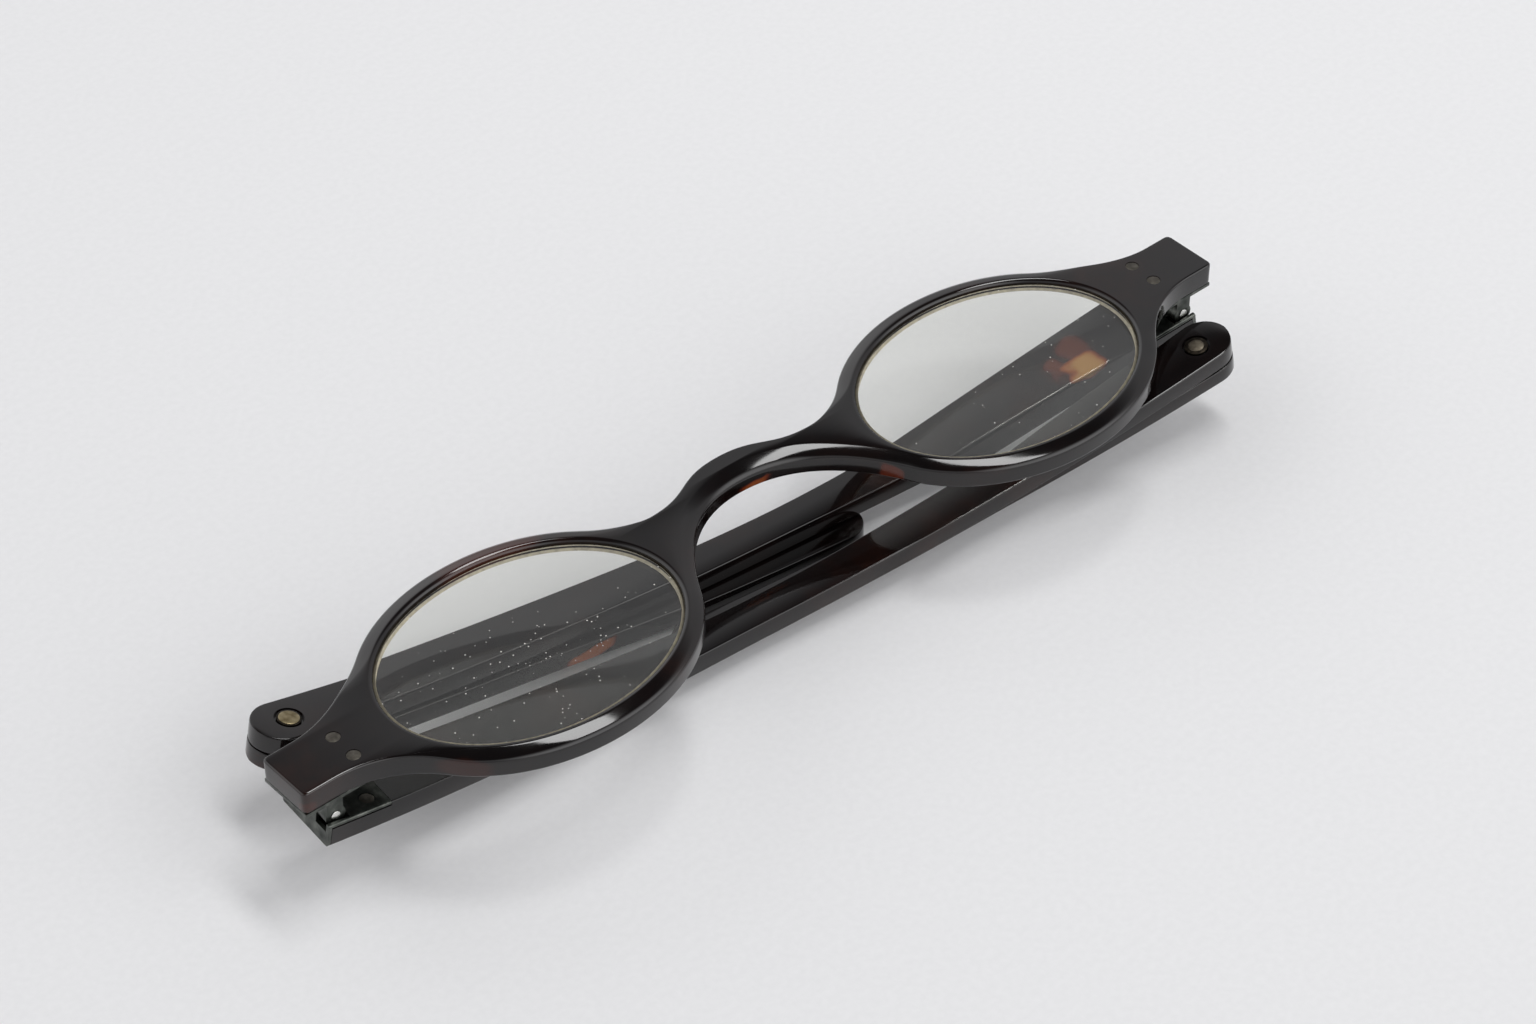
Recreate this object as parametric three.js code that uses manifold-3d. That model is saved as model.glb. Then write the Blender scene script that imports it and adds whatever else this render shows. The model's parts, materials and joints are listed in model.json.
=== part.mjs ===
// Turn-pin spectacles of dark shell, folded and lying face up.
// Millimetres, +Z up, X along the front, Y towards the brow, Z = 0 on the table under the sides' tips.
// Left is -X and right is +X. Each side is a front bar on a hinge and a rear bar on a turn pin.

import * as THREE from 'three';
import { mergeVertices } from 'three/addons/utils/BufferGeometryUtils.js';
import Module from 'manifold-3d';

// Front: overall width, eyes, rims and how far each end reaches past its rim
const FRONT_WIDTH = 121;
const FRONT_THICKNESS = 2.6;
const EYE_WIDTH = 33.3;
const EYE_HEIGHT = 24.4;
const RIM_WIDTH = 2.05;
const END_REACH = 10.5;
const LENS_SPACING = FRONT_WIDTH - 2 * (END_REACH + RIM_WIDTH) - EYE_WIDTH;

// Bridge: heights above the line through the lens centres, and the valleys' distance from those centres
const BRIDGE_CREST = 8.5;
const BRIDGE_BAR = 3.75;
const VALLEY_HEIGHT = 5.95;
const VALLEY_FROM_LENS = 20.6;
const BRIDGE_OFFSET = -0.35;

// End pieces
const END_HEIGHT = 6.7;
const END_CENTRE = 0.6;
const END_CORNER = 0.6;
const END_STRAIGHT = 3.4;

// Where the outline leaves each rim's ellipse, as angles from its long axis
const LEAVE_TO_BRIDGE_TOP = 40;
const LEAVE_TO_BRIDGE_ARCH = 22;
const LEAVE_TO_END_TOP = 42;
const LEAVE_TO_END_FOOT = 32;

// Edge rounding: inset across the face and drop down the side
const FLAT_EDGE = { inset: 0.3, drop: 0.35 };
const RIM_EDGE = { inset: 0.95, drop: 1.05 };
const EYE_EDGE = { inset: 0.6, drop: 0.65 };
const ROUND_RIM_SHARE = 0.72;
const FLAT_SHARE = 1.02;

// Lenses and their groove
const GROOVE_BELOW_FACE = 1.2;
const GROOVE_DEPTH = 0.65;
const GROOVE_HALF_HEIGHT = 0.45;
const GROOVE_CLEARANCE = 0.25;
const LENS_CROWN = 0.35;
const LENS_CROWN_INSET = 5;

// Hinges: two ears on the front leaf, one knuckle on the side leaf
const HINGE_FROM_END = 3.65;
const KNUCKLE_RADIUS = 1.1;
const KNUCKLE_LENGTH = 3.3;
const EAR_LENGTH = 1.42;
const EAR_WEB_HALF = 0.9;
const SIDE_PLAY = 0.12;
const HINGE_PIN_RADIUS = 0.5;
const HINGE_PIN_PROUD = 0.12;
const PIN_CLEARANCE = 0.06;
const WELL_CLEARANCE = 0.4;
const WELL_END_CLEARANCE = 0.28;
const EAR_SLOT_CLEARANCE = 0.2;
const FRONT_LEAF_THICKNESS = 0.4;
const FRONT_LEAF_LENGTH = 8.6;
const FRONT_LEAF_MARGIN = 0.1;
const FRONT_LEAF_CORNER = 0.8;
const KNUCKLE_CLEARANCE = 0.75;
const SIDE_LEAF_THICKNESS = 0.45;
const SIDE_LEAF_LENGTH = 6.0;
const LEAF_CAP_THICKNESS = 0.4;
const SEAT_GAP = 0.05;
const OPEN_ANGLE = 92;
const STOP_CLEARANCE = 0.1;

// Rivets: one pair in each end piece and one pair in each side leaf
const RIVET_RADIUS = 0.72;
const RIVET_CLEARANCE = 0.06;
const RIVET_SPACING = 3.2;
const RIVET_OFF_CENTRE = -0.4;
const RIVET_DOME = 0.1;
const DOME_FULLNESS = 0.7;
const END_RIVET_INBOARD = 3.15;
const LEAF_RIVET_INBOARD = 4.2;

// Sides: plan lean, bow and front bar
const SIDE_LEAN = { left: 4.45, right: 5.05 };
const SIDE_LENGTH = 110.2;
const BOW_RADIUS = 300;
const BOW_LOW_FROM_HINGE = 52;
const BAR_DROP_AT_HINGE = 0.45;
const FRONT_BAR_HINGE_WIDTH = 7.7;
const FRONT_BAR_WAIST = 3.9;
const FRONT_BAR_WAIST_AT = 52;
const FRONT_BAR_PIN_WIDTH = 5.9;
const FRONT_BAR_HINGE_THICKNESS = 2.5;
const FRONT_BAR_PIN_THICKNESS = 2.0;
const END_PAST_PIN = 1.0;
const BAR_CORNER = 0.4;
const CORNER_SHARE = 0.9;
const CORNER_TURNS = [0, 45, 90];
const WAIST_SOFTNESS = 0.15;

// Rear bars
const REAR_LENGTH = 68;
const REAR_PIN_WIDTH = 5.9;
const REAR_WAIST = 4.2;
const REAR_WAIST_AT = 30;
const REAR_TIP_WIDTH = 5.0;
const REAR_THICKNESS = 1.8;
const REAR_FOLD_LEAN = { left: 2.3, right: 1.5 };
const BAR_SEAM = 0.2;
const REST_FLAT_DEPTH = 0.1;

// Turn pins
const TURN_PIN_RADIUS = 0.65;
const TURN_PIN_PEEN_RADIUS = 0.85;
const TURN_PIN_PEEN_HEIGHT = 0.2;
const TURN_PIN_HEAD_RADIUS = 1.4;
const TURN_PIN_HEAD_HEIGHT = 0.45;
const WASHER_RADIUS = 1.25;
const WASHER_THICKNESS = 0.3;
const COUNTERSINK_GAP = 0.25;

// Facets
const OUTLINE_STEP = 2.4;
const CORNER_STEPS = 3;
const EYE_STEPS = 40;
const EDGE_STEPS = 2;
const BAR_STEP = 6;
const TIP_ANGLES = [25, 48, 67, 84];
const ROUND_STEPS = 14;

// Values that follow from the sizes above
const lensX = LENS_SPACING / 2;
const rimHalfWidth = EYE_WIDTH / 2 + RIM_WIDTH;
const rimHalfHeight = EYE_HEIGHT / 2 + RIM_WIDTH;
const bridgeMiddle = (VALLEY_HEIGHT + BRIDGE_CREST - BRIDGE_BAR) / 2;
const hingeX = FRONT_WIDTH / 2 - HINGE_FROM_END;
const axisToLeaf = KNUCKLE_RADIUS + KNUCKLE_CLEARANCE;
const axisToBack = axisToLeaf + FRONT_LEAF_THICKNESS + SEAT_GAP;
const hingeAngle = -Math.asin(BOW_LOW_FROM_HINGE / BOW_RADIUS);
const pinAngle = Math.asin((SIDE_LENGTH - BOW_LOW_FROM_HINGE) / BOW_RADIUS);
const bowCentre = new THREE.Vector3(
	BOW_LOW_FROM_HINGE, 0, BOW_RADIUS * Math.cos(hingeAngle) - BAR_DROP_AT_HINGE);
const pinAlong = BOW_RADIUS * (pinAngle - hingeAngle);
const lowFromPin = BOW_RADIUS * pinAngle;
const overOpen = THREE.MathUtils.degToRad(OPEN_ANGLE - 90);
const barEndReach = (axisToLeaf - STOP_CLEARANCE
	- (BAR_DROP_AT_HINGE + FRONT_BAR_HINGE_THICKNESS) * Math.sin(overOpen)) / Math.cos(overOpen);
const barEndAlong = -(barEndReach + FRONT_BAR_HINGE_THICKNESS * Math.sin(hingeAngle)) / Math.cos(hingeAngle);
const earOuter = KNUCKLE_LENGTH / 2 + SIDE_PLAY + EAR_LENGTH;
const wellRadius = KNUCKLE_RADIUS + WELL_CLEARANCE;
const wellEnd = earOuter + WELL_END_CLEARANCE;
const earSlotHalf = EAR_WEB_HALF + axisToLeaf * Math.sin(overOpen) + EAR_SLOT_CLEARANCE;
const washerSeat = WASHER_THICKNESS + SEAT_GAP;
const stackAtPin = FRONT_BAR_PIN_THICKNESS + BAR_SEAM + REAR_THICKNESS;

const frontBarThickness = (along) => THREE.MathUtils.mapLinear(
	along, 0, pinAlong, FRONT_BAR_HINGE_THICKNESS, FRONT_BAR_PIN_THICKNESS);
const rearTopDepth = (fromPin) => frontBarThickness(pinAlong - fromPin) + BAR_SEAM;
const bowLow = bowCentre.z - BOW_RADIUS;
const axisHeight = rearTopDepth(lowFromPin) + REAR_THICKNESS - bowLow - REST_FLAT_DEPTH;
const backHeight = axisHeight + axisToBack;
const faceHeight = backHeight + FRONT_THICKNESS;

// Materials
const paint = (color, roughness, metalness) => new THREE.MeshStandardMaterial({ color, roughness, metalness });
const shell = () => paint(0x2b1710, 0.18, 0);
const steel = () => paint(0x8d9089, 0.4, 1);
const brass = () => paint(0x9a8a5c, 0.45, 1);
const glass = () => {
	const material = paint(0xe9eeea, 0.05, 0);
	material.transparent = true;
	material.opacity = 0.3;
	return material;
};

// Solids for cutting and joining
const wasm = await Module();
wasm.setup();

function toSolid(geometry) {
	const bare = geometry.clone();
	bare.deleteAttribute('normal');
	bare.deleteAttribute('uv');
	const merged = mergeVertices(bare, 1e-5);
	return new wasm.Manifold(new wasm.Mesh({
		numProp: 3,
		vertProperties: Float32Array.from(merged.attributes.position.array),
		triVerts: Uint32Array.from(merged.index.array),
	}));
}

function toGeometry(solid) {
	const mesh = solid.getMesh();
	const geometry = new THREE.BufferGeometry();
	geometry.setAttribute('position', new THREE.BufferAttribute(mesh.vertProperties, 3));
	geometry.setIndex(new THREE.BufferAttribute(mesh.triVerts, 1));
	geometry.computeVertexNormals();
	return geometry;
}

const join = (parts) => parts.map(toSolid).reduce((whole, part) => whole.add(part));
const cut = (solid, tools) => tools.map(toSolid).reduce((left, tool) => left.subtract(tool), solid);

// A closed geometry from points and triangles, turned so that its faces point out
function closedGeometry(points, triangles) {
	let volume = 0;
	const cross = new THREE.Vector3();
	for (const [a, b, c] of triangles) {
		volume += points[a].dot(cross.crossVectors(points[b], points[c]));
	}
	const facing = volume < 0 ? triangles.map(([a, b, c]) => [a, c, b]) : triangles;
	const geometry = new THREE.BufferGeometry();
	geometry.setFromPoints(points);
	geometry.setIndex(facing.flat());
	geometry.computeVertexNormals();
	return geometry;
}

// Two triangles for each quad between neighbouring rings of equal count
function bandTriangles(startA, startB, count) {
	const triangles = [];
	for (let i = 0; i < count; i++) {
		const next = (i + 1) % count;
		triangles.push([startA + i, startB + i, startB + next]);
		triangles.push([startA + i, startB + next, startA + next]);
	}
	return triangles;
}

// A body lofted through rings of points, with a fan over each end
function loft(rings) {
	const count = rings[0].length;
	const points = rings.flat();
	const triangles = [];
	for (let r = 0; r + 1 < rings.length; r++) {
		triangles.push(...bandTriangles(r * count, (r + 1) * count, count));
	}
	const lastStart = (rings.length - 1) * count;
	for (const [ring, start, turned] of [[rings[0], 0, true], [rings.at(-1), lastStart, false]]) {
		const middle = new THREE.Vector3();
		ring.forEach((point) => middle.add(point));
		points.push(middle.divideScalar(count));
		for (let i = 0; i < count; i++) {
			const pair = [start + i, start + (i + 1) % count];
			triangles.push([points.length - 1, ...(turned ? pair.reverse() : pair)].reverse());
		}
	}
	return closedGeometry(points, triangles);
}

// Outward normals of a closed loop that keeps its material on the left
function loopNormals(loop) {
	return loop.map((_, i) => {
		const before = loop.at(i - 1);
		const after = loop[(i + 1) % loop.length];
		return new THREE.Vector2(after.y - before.y, before.x - after.x).normalize();
	});
}

// A flat plate from loops: the first is its outline, the rest are holes. Each loop has a profile
// that gives, for one of its points, the list of { inset, z } from the top face to the bottom face.
function plate(loops) {
	const points = [];
	const triangles = [];
	const caps = { top: [], bottom: [] };
	for (const { loop, profile } of loops) {
		const normals = loopNormals(loop);
		const columns = loop.map((point) => profile(point));
		const starts = columns[0].map((_, level) => {
			const start = points.length;
			loop.forEach((point, i) => {
				const { inset, z } = columns[i][level];
				points.push(new THREE.Vector3(
					point.x - normals[i].x * inset, point.y - normals[i].y * inset, z));
			});
			return start;
		});
		for (let level = 0; level + 1 < starts.length; level++) {
			triangles.push(...bandTriangles(starts[level], starts[level + 1], loop.length));
		}
		caps.top.push({ start: starts[0], count: loop.length });
		caps.bottom.push({ start: starts.at(-1), count: loop.length });
	}
	for (const [rings, turned] of [[caps.top, false], [caps.bottom, true]]) {
		const index = rings.flatMap(({ start, count }) => Array.from({ length: count }, (_, i) => start + i));
		const [outline, ...holes] = rings.map(({ start, count }) => points.slice(start, start + count)
			.map(({ x, y }) => new THREE.Vector2(x, y)));
		for (const face of THREE.ShapeUtils.triangulateShape(outline, holes)) {
			const corners = face.map((corner) => index[corner]);
			triangles.push(turned ? corners.reverse() : corners);
		}
	}
	return closedGeometry(points, triangles);
}

// A rounded edge as a quarter ellipse, from the face down to the side
function edgeLevels({ inset, drop }) {
	return Array.from({ length: EDGE_STEPS + 1 }, (_, k) => {
		const turn = (k / EDGE_STEPS) * Math.PI / 2;
		return { inset: inset * (1 - Math.sin(turn)), z: -drop * (1 - Math.cos(turn)) };
	});
}

function bothEdges(edge, thickness, between = []) {
	const upper = edgeLevels(edge);
	const lower = upper.map(({ inset, z }) => ({ inset, z: -thickness - z })).reverse();
	return [...upper, ...between, ...lower];
}

const ellipsePoint = (x, halfWidth, halfHeight, angle) =>
	new THREE.Vector2(x + halfWidth * Math.cos(angle), halfHeight * Math.sin(angle));

function ellipseLoop(x, halfWidth, halfHeight, steps, hole) {
	const turn = (hole ? -2 : 2) * Math.PI / steps;
	return Array.from({ length: steps }, (_, i) => ellipsePoint(x, halfWidth, halfHeight, i * turn));
}

// The point where the rim ellipse's tangent at an angle reaches a given height
function tangentAtHeight(angle, height) {
	const touch = ellipsePoint(lensX, rimHalfWidth, rimHalfHeight, angle);
	const slope = -(rimHalfHeight * Math.cos(angle)) / (rimHalfWidth * Math.sin(angle));
	return { touch, corner: new THREE.Vector2(touch.x + (height - touch.y) / slope, height) };
}

// One half of the front's outline, drawn to the right: from the bridge crest round the rim to the bridge's
// underside. The bridge's own middle lies at the given x.
function frontHalfOutline(bridgeX) {
	const degrees = THREE.MathUtils.degToRad;
	const endX = FRONT_WIDTH / 2;
	const endTop = END_CENTRE + END_HEIGHT / 2;
	const endFoot = END_CENTRE - END_HEIGHT / 2;
	const archTop = BRIDGE_CREST - BRIDGE_BAR;
	const bridgeTop = tangentAtHeight(Math.PI - degrees(LEAVE_TO_BRIDGE_TOP), VALLEY_HEIGHT);
	const endUpper = tangentAtHeight(degrees(LEAVE_TO_END_TOP), endTop);
	const endLower = tangentAtHeight(-degrees(LEAVE_TO_END_FOOT), endFoot);
	const arch = tangentAtHeight(-Math.PI + degrees(LEAVE_TO_BRIDGE_ARCH), archTop);

	const half = new THREE.Path();
	const valleyX = bridgeX + lensX - VALLEY_FROM_LENS;
	const midway = (bridgeX + valleyX) / 2;
	half.moveTo(bridgeX, BRIDGE_CREST);
	half.bezierCurveTo(midway, BRIDGE_CREST, midway, VALLEY_HEIGHT, valleyX, VALLEY_HEIGHT);
	half.quadraticCurveTo(bridgeTop.corner.x, bridgeTop.corner.y, bridgeTop.touch.x, bridgeTop.touch.y);
	half.absellipse(lensX, 0, rimHalfWidth, rimHalfHeight,
		Math.PI - degrees(LEAVE_TO_BRIDGE_TOP), degrees(LEAVE_TO_END_TOP), true);
	half.quadraticCurveTo(endUpper.corner.x, endUpper.corner.y, endX - END_STRAIGHT, endTop);
	half.lineTo(endX - END_CORNER, endTop);
	half.quadraticCurveTo(endX, endTop, endX, endTop - END_CORNER);
	half.lineTo(endX, endFoot + END_CORNER);
	half.quadraticCurveTo(endX, endFoot, endX - END_CORNER, endFoot);
	half.lineTo(endX - END_STRAIGHT, endFoot);
	half.quadraticCurveTo(endLower.corner.x, endLower.corner.y, endLower.touch.x, endLower.touch.y);
	half.absellipse(lensX, 0, rimHalfWidth, rimHalfHeight,
		-degrees(LEAVE_TO_END_FOOT), -Math.PI + degrees(LEAVE_TO_BRIDGE_ARCH), true);
	half.quadraticCurveTo(arch.corner.x, arch.corner.y, bridgeX, archTop);

	return half.curves.flatMap((curve) => {
		const steps = curve.isLineCurve ? 1 : Math.max(CORNER_STEPS, Math.ceil(curve.getLength() / OUTLINE_STEP));
		return curve.getPoints(steps).slice(1);
	});
}

function frontOutline() {
	const right = frontHalfOutline(BRIDGE_OFFSET);
	const left = frontHalfOutline(-BRIDGE_OFFSET).map(({ x, y }) => new THREE.Vector2(-x, y));
	return [...left, ...right.slice(0, -1).reverse(), new THREE.Vector2(BRIDGE_OFFSET, BRIDGE_CREST)];
}

// Rims and the bridge's underside are round in section. The bridge's crest and the end pieces are flat
// with a small edge.
function frontEdge({ x, y }) {
	const share = Math.abs(Math.abs(x) - lensX) / rimHalfWidth;
	const underBridge = Math.abs(x) < lensX && y < bridgeMiddle;
	const flat = underBridge ? 0 : THREE.MathUtils.smoothstep(share, ROUND_RIM_SHARE, FLAT_SHARE);
	return {
		inset: THREE.MathUtils.lerp(RIM_EDGE.inset, FLAT_EDGE.inset, flat),
		drop: THREE.MathUtils.lerp(RIM_EDGE.drop, FLAT_EDGE.drop, flat),
	};
}

// Rivet places across each end, in the hinge's own frame
const rivetRows = [RIVET_OFF_CENTRE - RIVET_SPACING / 2, RIVET_OFF_CENTRE + RIVET_SPACING / 2];
const rowNames = { left: ['lower', 'upper'], right: ['upper', 'lower'] };

function frontGeometry() {
	const groove = [
		{ inset: 0, z: GROOVE_HALF_HEIGHT - GROOVE_BELOW_FACE },
		{ inset: GROOVE_DEPTH, z: -GROOVE_BELOW_FACE },
		{ inset: 0, z: -GROOVE_HALF_HEIGHT - GROOVE_BELOW_FACE },
	];
	const loops = [{ loop: frontOutline(), profile: (point) => bothEdges(frontEdge(point), FRONT_THICKNESS) }];
	for (const sign of [-1, 1]) {
		loops.push({
			loop: ellipseLoop(sign * lensX, EYE_WIDTH / 2, EYE_HEIGHT / 2, EYE_STEPS, true),
			profile: () => bothEdges(EYE_EDGE, FRONT_THICKNESS, groove),
		});
		for (const row of rivetRows) {
			const hole = RIVET_RADIUS + RIVET_CLEARANCE;
			const centre = new THREE.Vector2(sign * (hingeX - END_RIVET_INBOARD), END_CENTRE - sign * row);
			loops.push({
				loop: ellipseLoop(0, hole, hole, ROUND_STEPS, true).map((point) => point.add(centre)),
				profile: () => [{ inset: 0, z: 0 }, { inset: 0, z: -FRONT_THICKNESS }],
			});
		}
	}
	return plate(loops);
}

// A slightly crowned oval whose edge is bevelled to fit the groove of the rim
function lensGeometry() {
	const bevel = GROOVE_DEPTH - GROOVE_CLEARANCE;
	const edge = GROOVE_HALF_HEIGHT - GROOVE_CLEARANCE;
	const shy = GROOVE_CLEARANCE;
	const upper = [
		{ inset: LENS_CROWN_INSET, z: edge + LENS_CROWN },
		{ inset: shy, z: edge },
	];
	const lower = upper.map(({ inset, z }) => ({ inset, z: -z })).reverse();
	return plate([{
		loop: ellipseLoop(0, EYE_WIDTH / 2, EYE_HEIGHT / 2, EYE_STEPS, false),
		profile: () => [...upper, { inset: -bevel, z: 0 }, ...lower],
	}]);
}

// A round rod along Z, from bottom to top, with shallow domes outside that length
function rod(radius, bottom, top, dome) {
	const profile = new THREE.Path();
	profile.moveTo(0, bottom - dome);
	profile.quadraticCurveTo(radius * DOME_FULLNESS, bottom - dome, radius, bottom);
	profile.lineTo(radius, top);
	profile.quadraticCurveTo(radius * DOME_FULLNESS, top + dome, 0, top + dome);
	return new THREE.LatheGeometry(profile.getPoints(CORNER_STEPS), ROUND_STEPS).rotateX(Math.PI / 2);
}

// A plain round tool along Z for cutting
const drill = (radius, bottom, top) => new THREE.CylinderGeometry(radius, radius, top - bottom, ROUND_STEPS)
	.rotateX(Math.PI / 2).translate(0, 0, (bottom + top) / 2);

// A plain round tool along Y for cutting, from one place to another along the hinge axis
const crossDrill = (radius, from, to) => new THREE.CylinderGeometry(radius, radius, to - from, ROUND_STEPS)
	.translate(0, (from + to) / 2, 0);

// Clears the ears from shut to open: a round well about the hinge axis, and a slot from it past the bar's end
const earClearance = (from, to) => [
	crossDrill(wellRadius, from, to),
	new THREE.BoxGeometry(2 * axisToLeaf, to - from, 2 * earSlotHalf).translate(-axisToLeaf, (from + to) / 2, 0),
];

function circleHole(x, y, radius) {
	return new THREE.Path().absarc(x, y, radius, 0, Math.PI * 2, true);
}

// A shape in the XZ plane, run along Y from one place to another
function runAlongY(shape, from, to) {
	return new THREE.ExtrudeGeometry(shape, {
		depth: to - from, bevelEnabled: false, curveSegments: ROUND_STEPS / 2,
	}).rotateX(Math.PI / 2).translate(0, to, 0);
}

// Front leaf: a plate under the end piece with two ears. Origin on the hinge axis, +X inboard.
function frontLeafGeometry(lean) {
	const outer = FRONT_LEAF_MARGIN - HINGE_FROM_END;
	const inner = outer + FRONT_LEAF_LENGTH;
	const half = END_HEIGHT / 2 - FRONT_LEAF_MARGIN;
	const corner = FRONT_LEAF_CORNER;
	const outline = new THREE.Shape();
	outline.moveTo(outer, -half);
	outline.lineTo(inner - corner, -half);
	outline.quadraticCurveTo(inner, -half, inner, corner - half);
	outline.lineTo(inner, half - corner);
	outline.quadraticCurveTo(inner, half, inner - corner, half);
	outline.lineTo(outer, half);
	outline.holes = rivetRows.map((row) => circleHole(END_RIVET_INBOARD, row, RIVET_RADIUS + RIVET_CLEARANCE));
	const leaf = new THREE.ExtrudeGeometry(outline, {
		depth: FRONT_LEAF_THICKNESS, bevelEnabled: false, curveSegments: ROUND_STEPS / 2,
	}).translate(0, 0, axisToLeaf);

	const ear = new THREE.Shape();
	const root = axisToLeaf + FRONT_LEAF_THICKNESS / 2;
	const shoulder = Math.acos(EAR_WEB_HALF / KNUCKLE_RADIUS);
	ear.moveTo(EAR_WEB_HALF, root);
	ear.lineTo(-EAR_WEB_HALF, root);
	ear.absarc(0, 0, KNUCKLE_RADIUS, Math.PI - shoulder, 2 * Math.PI + shoulder, false);
	ear.holes = [circleHole(0, 0, HINGE_PIN_RADIUS + PIN_CLEARANCE)];
	const ears = [-1, 1].map((sign) => {
		const places = [sign * earOuter, sign * (earOuter - EAR_LENGTH)].sort((a, b) => a - b);
		return runAlongY(ear, ...places).rotateZ(-lean);
	});
	return toGeometry(join([leaf, ...ears]));
}

function hingePinGeometry(lean) {
	const reach = earOuter + HINGE_PIN_PROUD / 2;
	return rod(HINGE_PIN_RADIUS, -reach, reach, HINGE_PIN_PROUD / 2).rotateX(Math.PI / 2).rotateZ(-lean);
}

// A point on the bow at an angle from its lowest place, some way across the bar and below its top face
function bowPoint(centre, angle, across, depth) {
	const radius = BOW_RADIUS + depth;
	return new THREE.Vector3(
		centre.x + radius * Math.sin(angle), across, centre.z - radius * Math.cos(angle));
}

// One cross-section of a bar: a rectangle with rounded corners, as [across, depth] pairs
function barSection(halfWidth, top, bottom) {
	const corner = Math.min(BAR_CORNER, halfWidth * CORNER_SHARE, (bottom - top) * CORNER_SHARE / 2);
	const corners = [
		[halfWidth - corner, top + corner, -90],
		[halfWidth - corner, bottom - corner, 0],
		[corner - halfWidth, bottom - corner, 90],
		[corner - halfWidth, top + corner, 180],
	];
	return corners.flatMap(([across, depth, start]) => CORNER_TURNS.map((turn) => {
		const angle = THREE.MathUtils.degToRad(start + turn);
		return [across + corner * Math.cos(angle), depth + corner * Math.sin(angle)];
	}));
}

// A bowed bar through stations of { angle, halfWidth, top, bottom }
function bowedBar(centre, stations) {
	return loft(stations.map(({ angle, halfWidth, top, bottom }) => barSection(halfWidth, top, bottom)
		.map(([across, depth]) => bowPoint(centre, angle, across, depth))));
}

function evenSteps(from, to) {
	const count = Math.ceil(Math.abs(to - from) / BAR_STEP);
	return Array.from({ length: count + 1 }, (_, i) => THREE.MathUtils.lerp(from, to, i / count));
}

// Half width of a bar that narrows from both ends to a waist
function waistedHalf(along, start, end, waist) {
	const limit = along < waist.at ? start : end;
	const share = (along - waist.at) / (limit.at - waist.at);
	const soft = (Math.hypot(share, WAIST_SOFTNESS) - WAIST_SOFTNESS)
		/ (Math.hypot(1, WAIST_SOFTNESS) - WAIST_SOFTNESS);
	return (waist.width + (limit.width - waist.width) * soft) / 2;
}

const frontBarHalf = (along) => waistedHalf(along,
	{ at: 0, width: FRONT_BAR_HINGE_WIDTH },
	{ at: pinAlong + END_PAST_PIN, width: FRONT_BAR_PIN_WIDTH },
	{ at: FRONT_BAR_WAIST_AT, width: FRONT_BAR_WAIST });
const rearBarHalf = (fromPin) => waistedHalf(fromPin,
	{ at: -END_PAST_PIN, width: REAR_PIN_WIDTH },
	{ at: REAR_LENGTH - REAR_TIP_WIDTH / 2, width: REAR_TIP_WIDTH },
	{ at: REAR_WAIST_AT, width: REAR_WAIST });

// Places along a round end, with the half width there
const roundEnd = (centre, radius, sign) => TIP_ANGLES.map((angle) => {
	const turn = THREE.MathUtils.degToRad(angle);
	return { along: centre + sign * radius * Math.sin(turn), half: radius * Math.cos(turn) };
});

const atAngle = (along) => hingeAngle + along / BOW_RADIUS;

function frontBarStation(along, halfWidth = frontBarHalf(along), top = 0, bottom = frontBarThickness(along)) {
	return { angle: atAngle(along), halfWidth, top, bottom };
}

// A tool or rivet made along Z, set square to the side's bow at a place along and across it
function setOnBow(geometry, along, across) {
	const place = bowPoint(bowCentre, atAngle(along), across, 0);
	return geometry.rotateY(-atAngle(along)).translate(place.x, place.y, place.z);
}

const leafRivetHoles = () => rivetRows.map((row) => setOnBow(
	drill(RIVET_RADIUS + RIVET_CLEARANCE, -2 * FRONT_BAR_HINGE_THICKNESS, FRONT_BAR_HINGE_THICKNESS),
	LEAF_RIVET_INBOARD, row));

function frontBarGeometry() {
	const start = barEndAlong + LEAF_CAP_THICKNESS + SEAT_GAP;
	const along = evenSteps(start, pinAlong + END_PAST_PIN).map((place) => frontBarStation(place));
	const end = roundEnd(pinAlong + END_PAST_PIN, FRONT_BAR_PIN_WIDTH / 2, 1)
		.map(({ along: place, half }) => frontBarStation(place, half));
	const rebateEnd = SIDE_LEAF_LENGTH + SEAT_GAP;
	const rebate = bowedBar(bowCentre, [barEndAlong, rebateEnd / 2, rebateEnd].map((place) => frontBarStation(
		place, FRONT_BAR_HINGE_WIDTH, -FRONT_BAR_HINGE_THICKNESS, SIDE_LEAF_THICKNESS + SEAT_GAP)));
	const bar = toSolid(bowedBar(bowCentre, [...along, ...end]));
	return toGeometry(cut(bar, [
		rebate,
		...earClearance(-wellEnd, wellEnd),
		...leafRivetHoles(),
		setOnBow(drill(TURN_PIN_RADIUS + PIN_CLEARANCE, -2 * stackAtPin, stackAtPin), pinAlong, 0),
		setOnBow(drill(WASHER_RADIUS + COUNTERSINK_GAP, -washerSeat, stackAtPin), pinAlong, 0),
	]));
}

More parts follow.
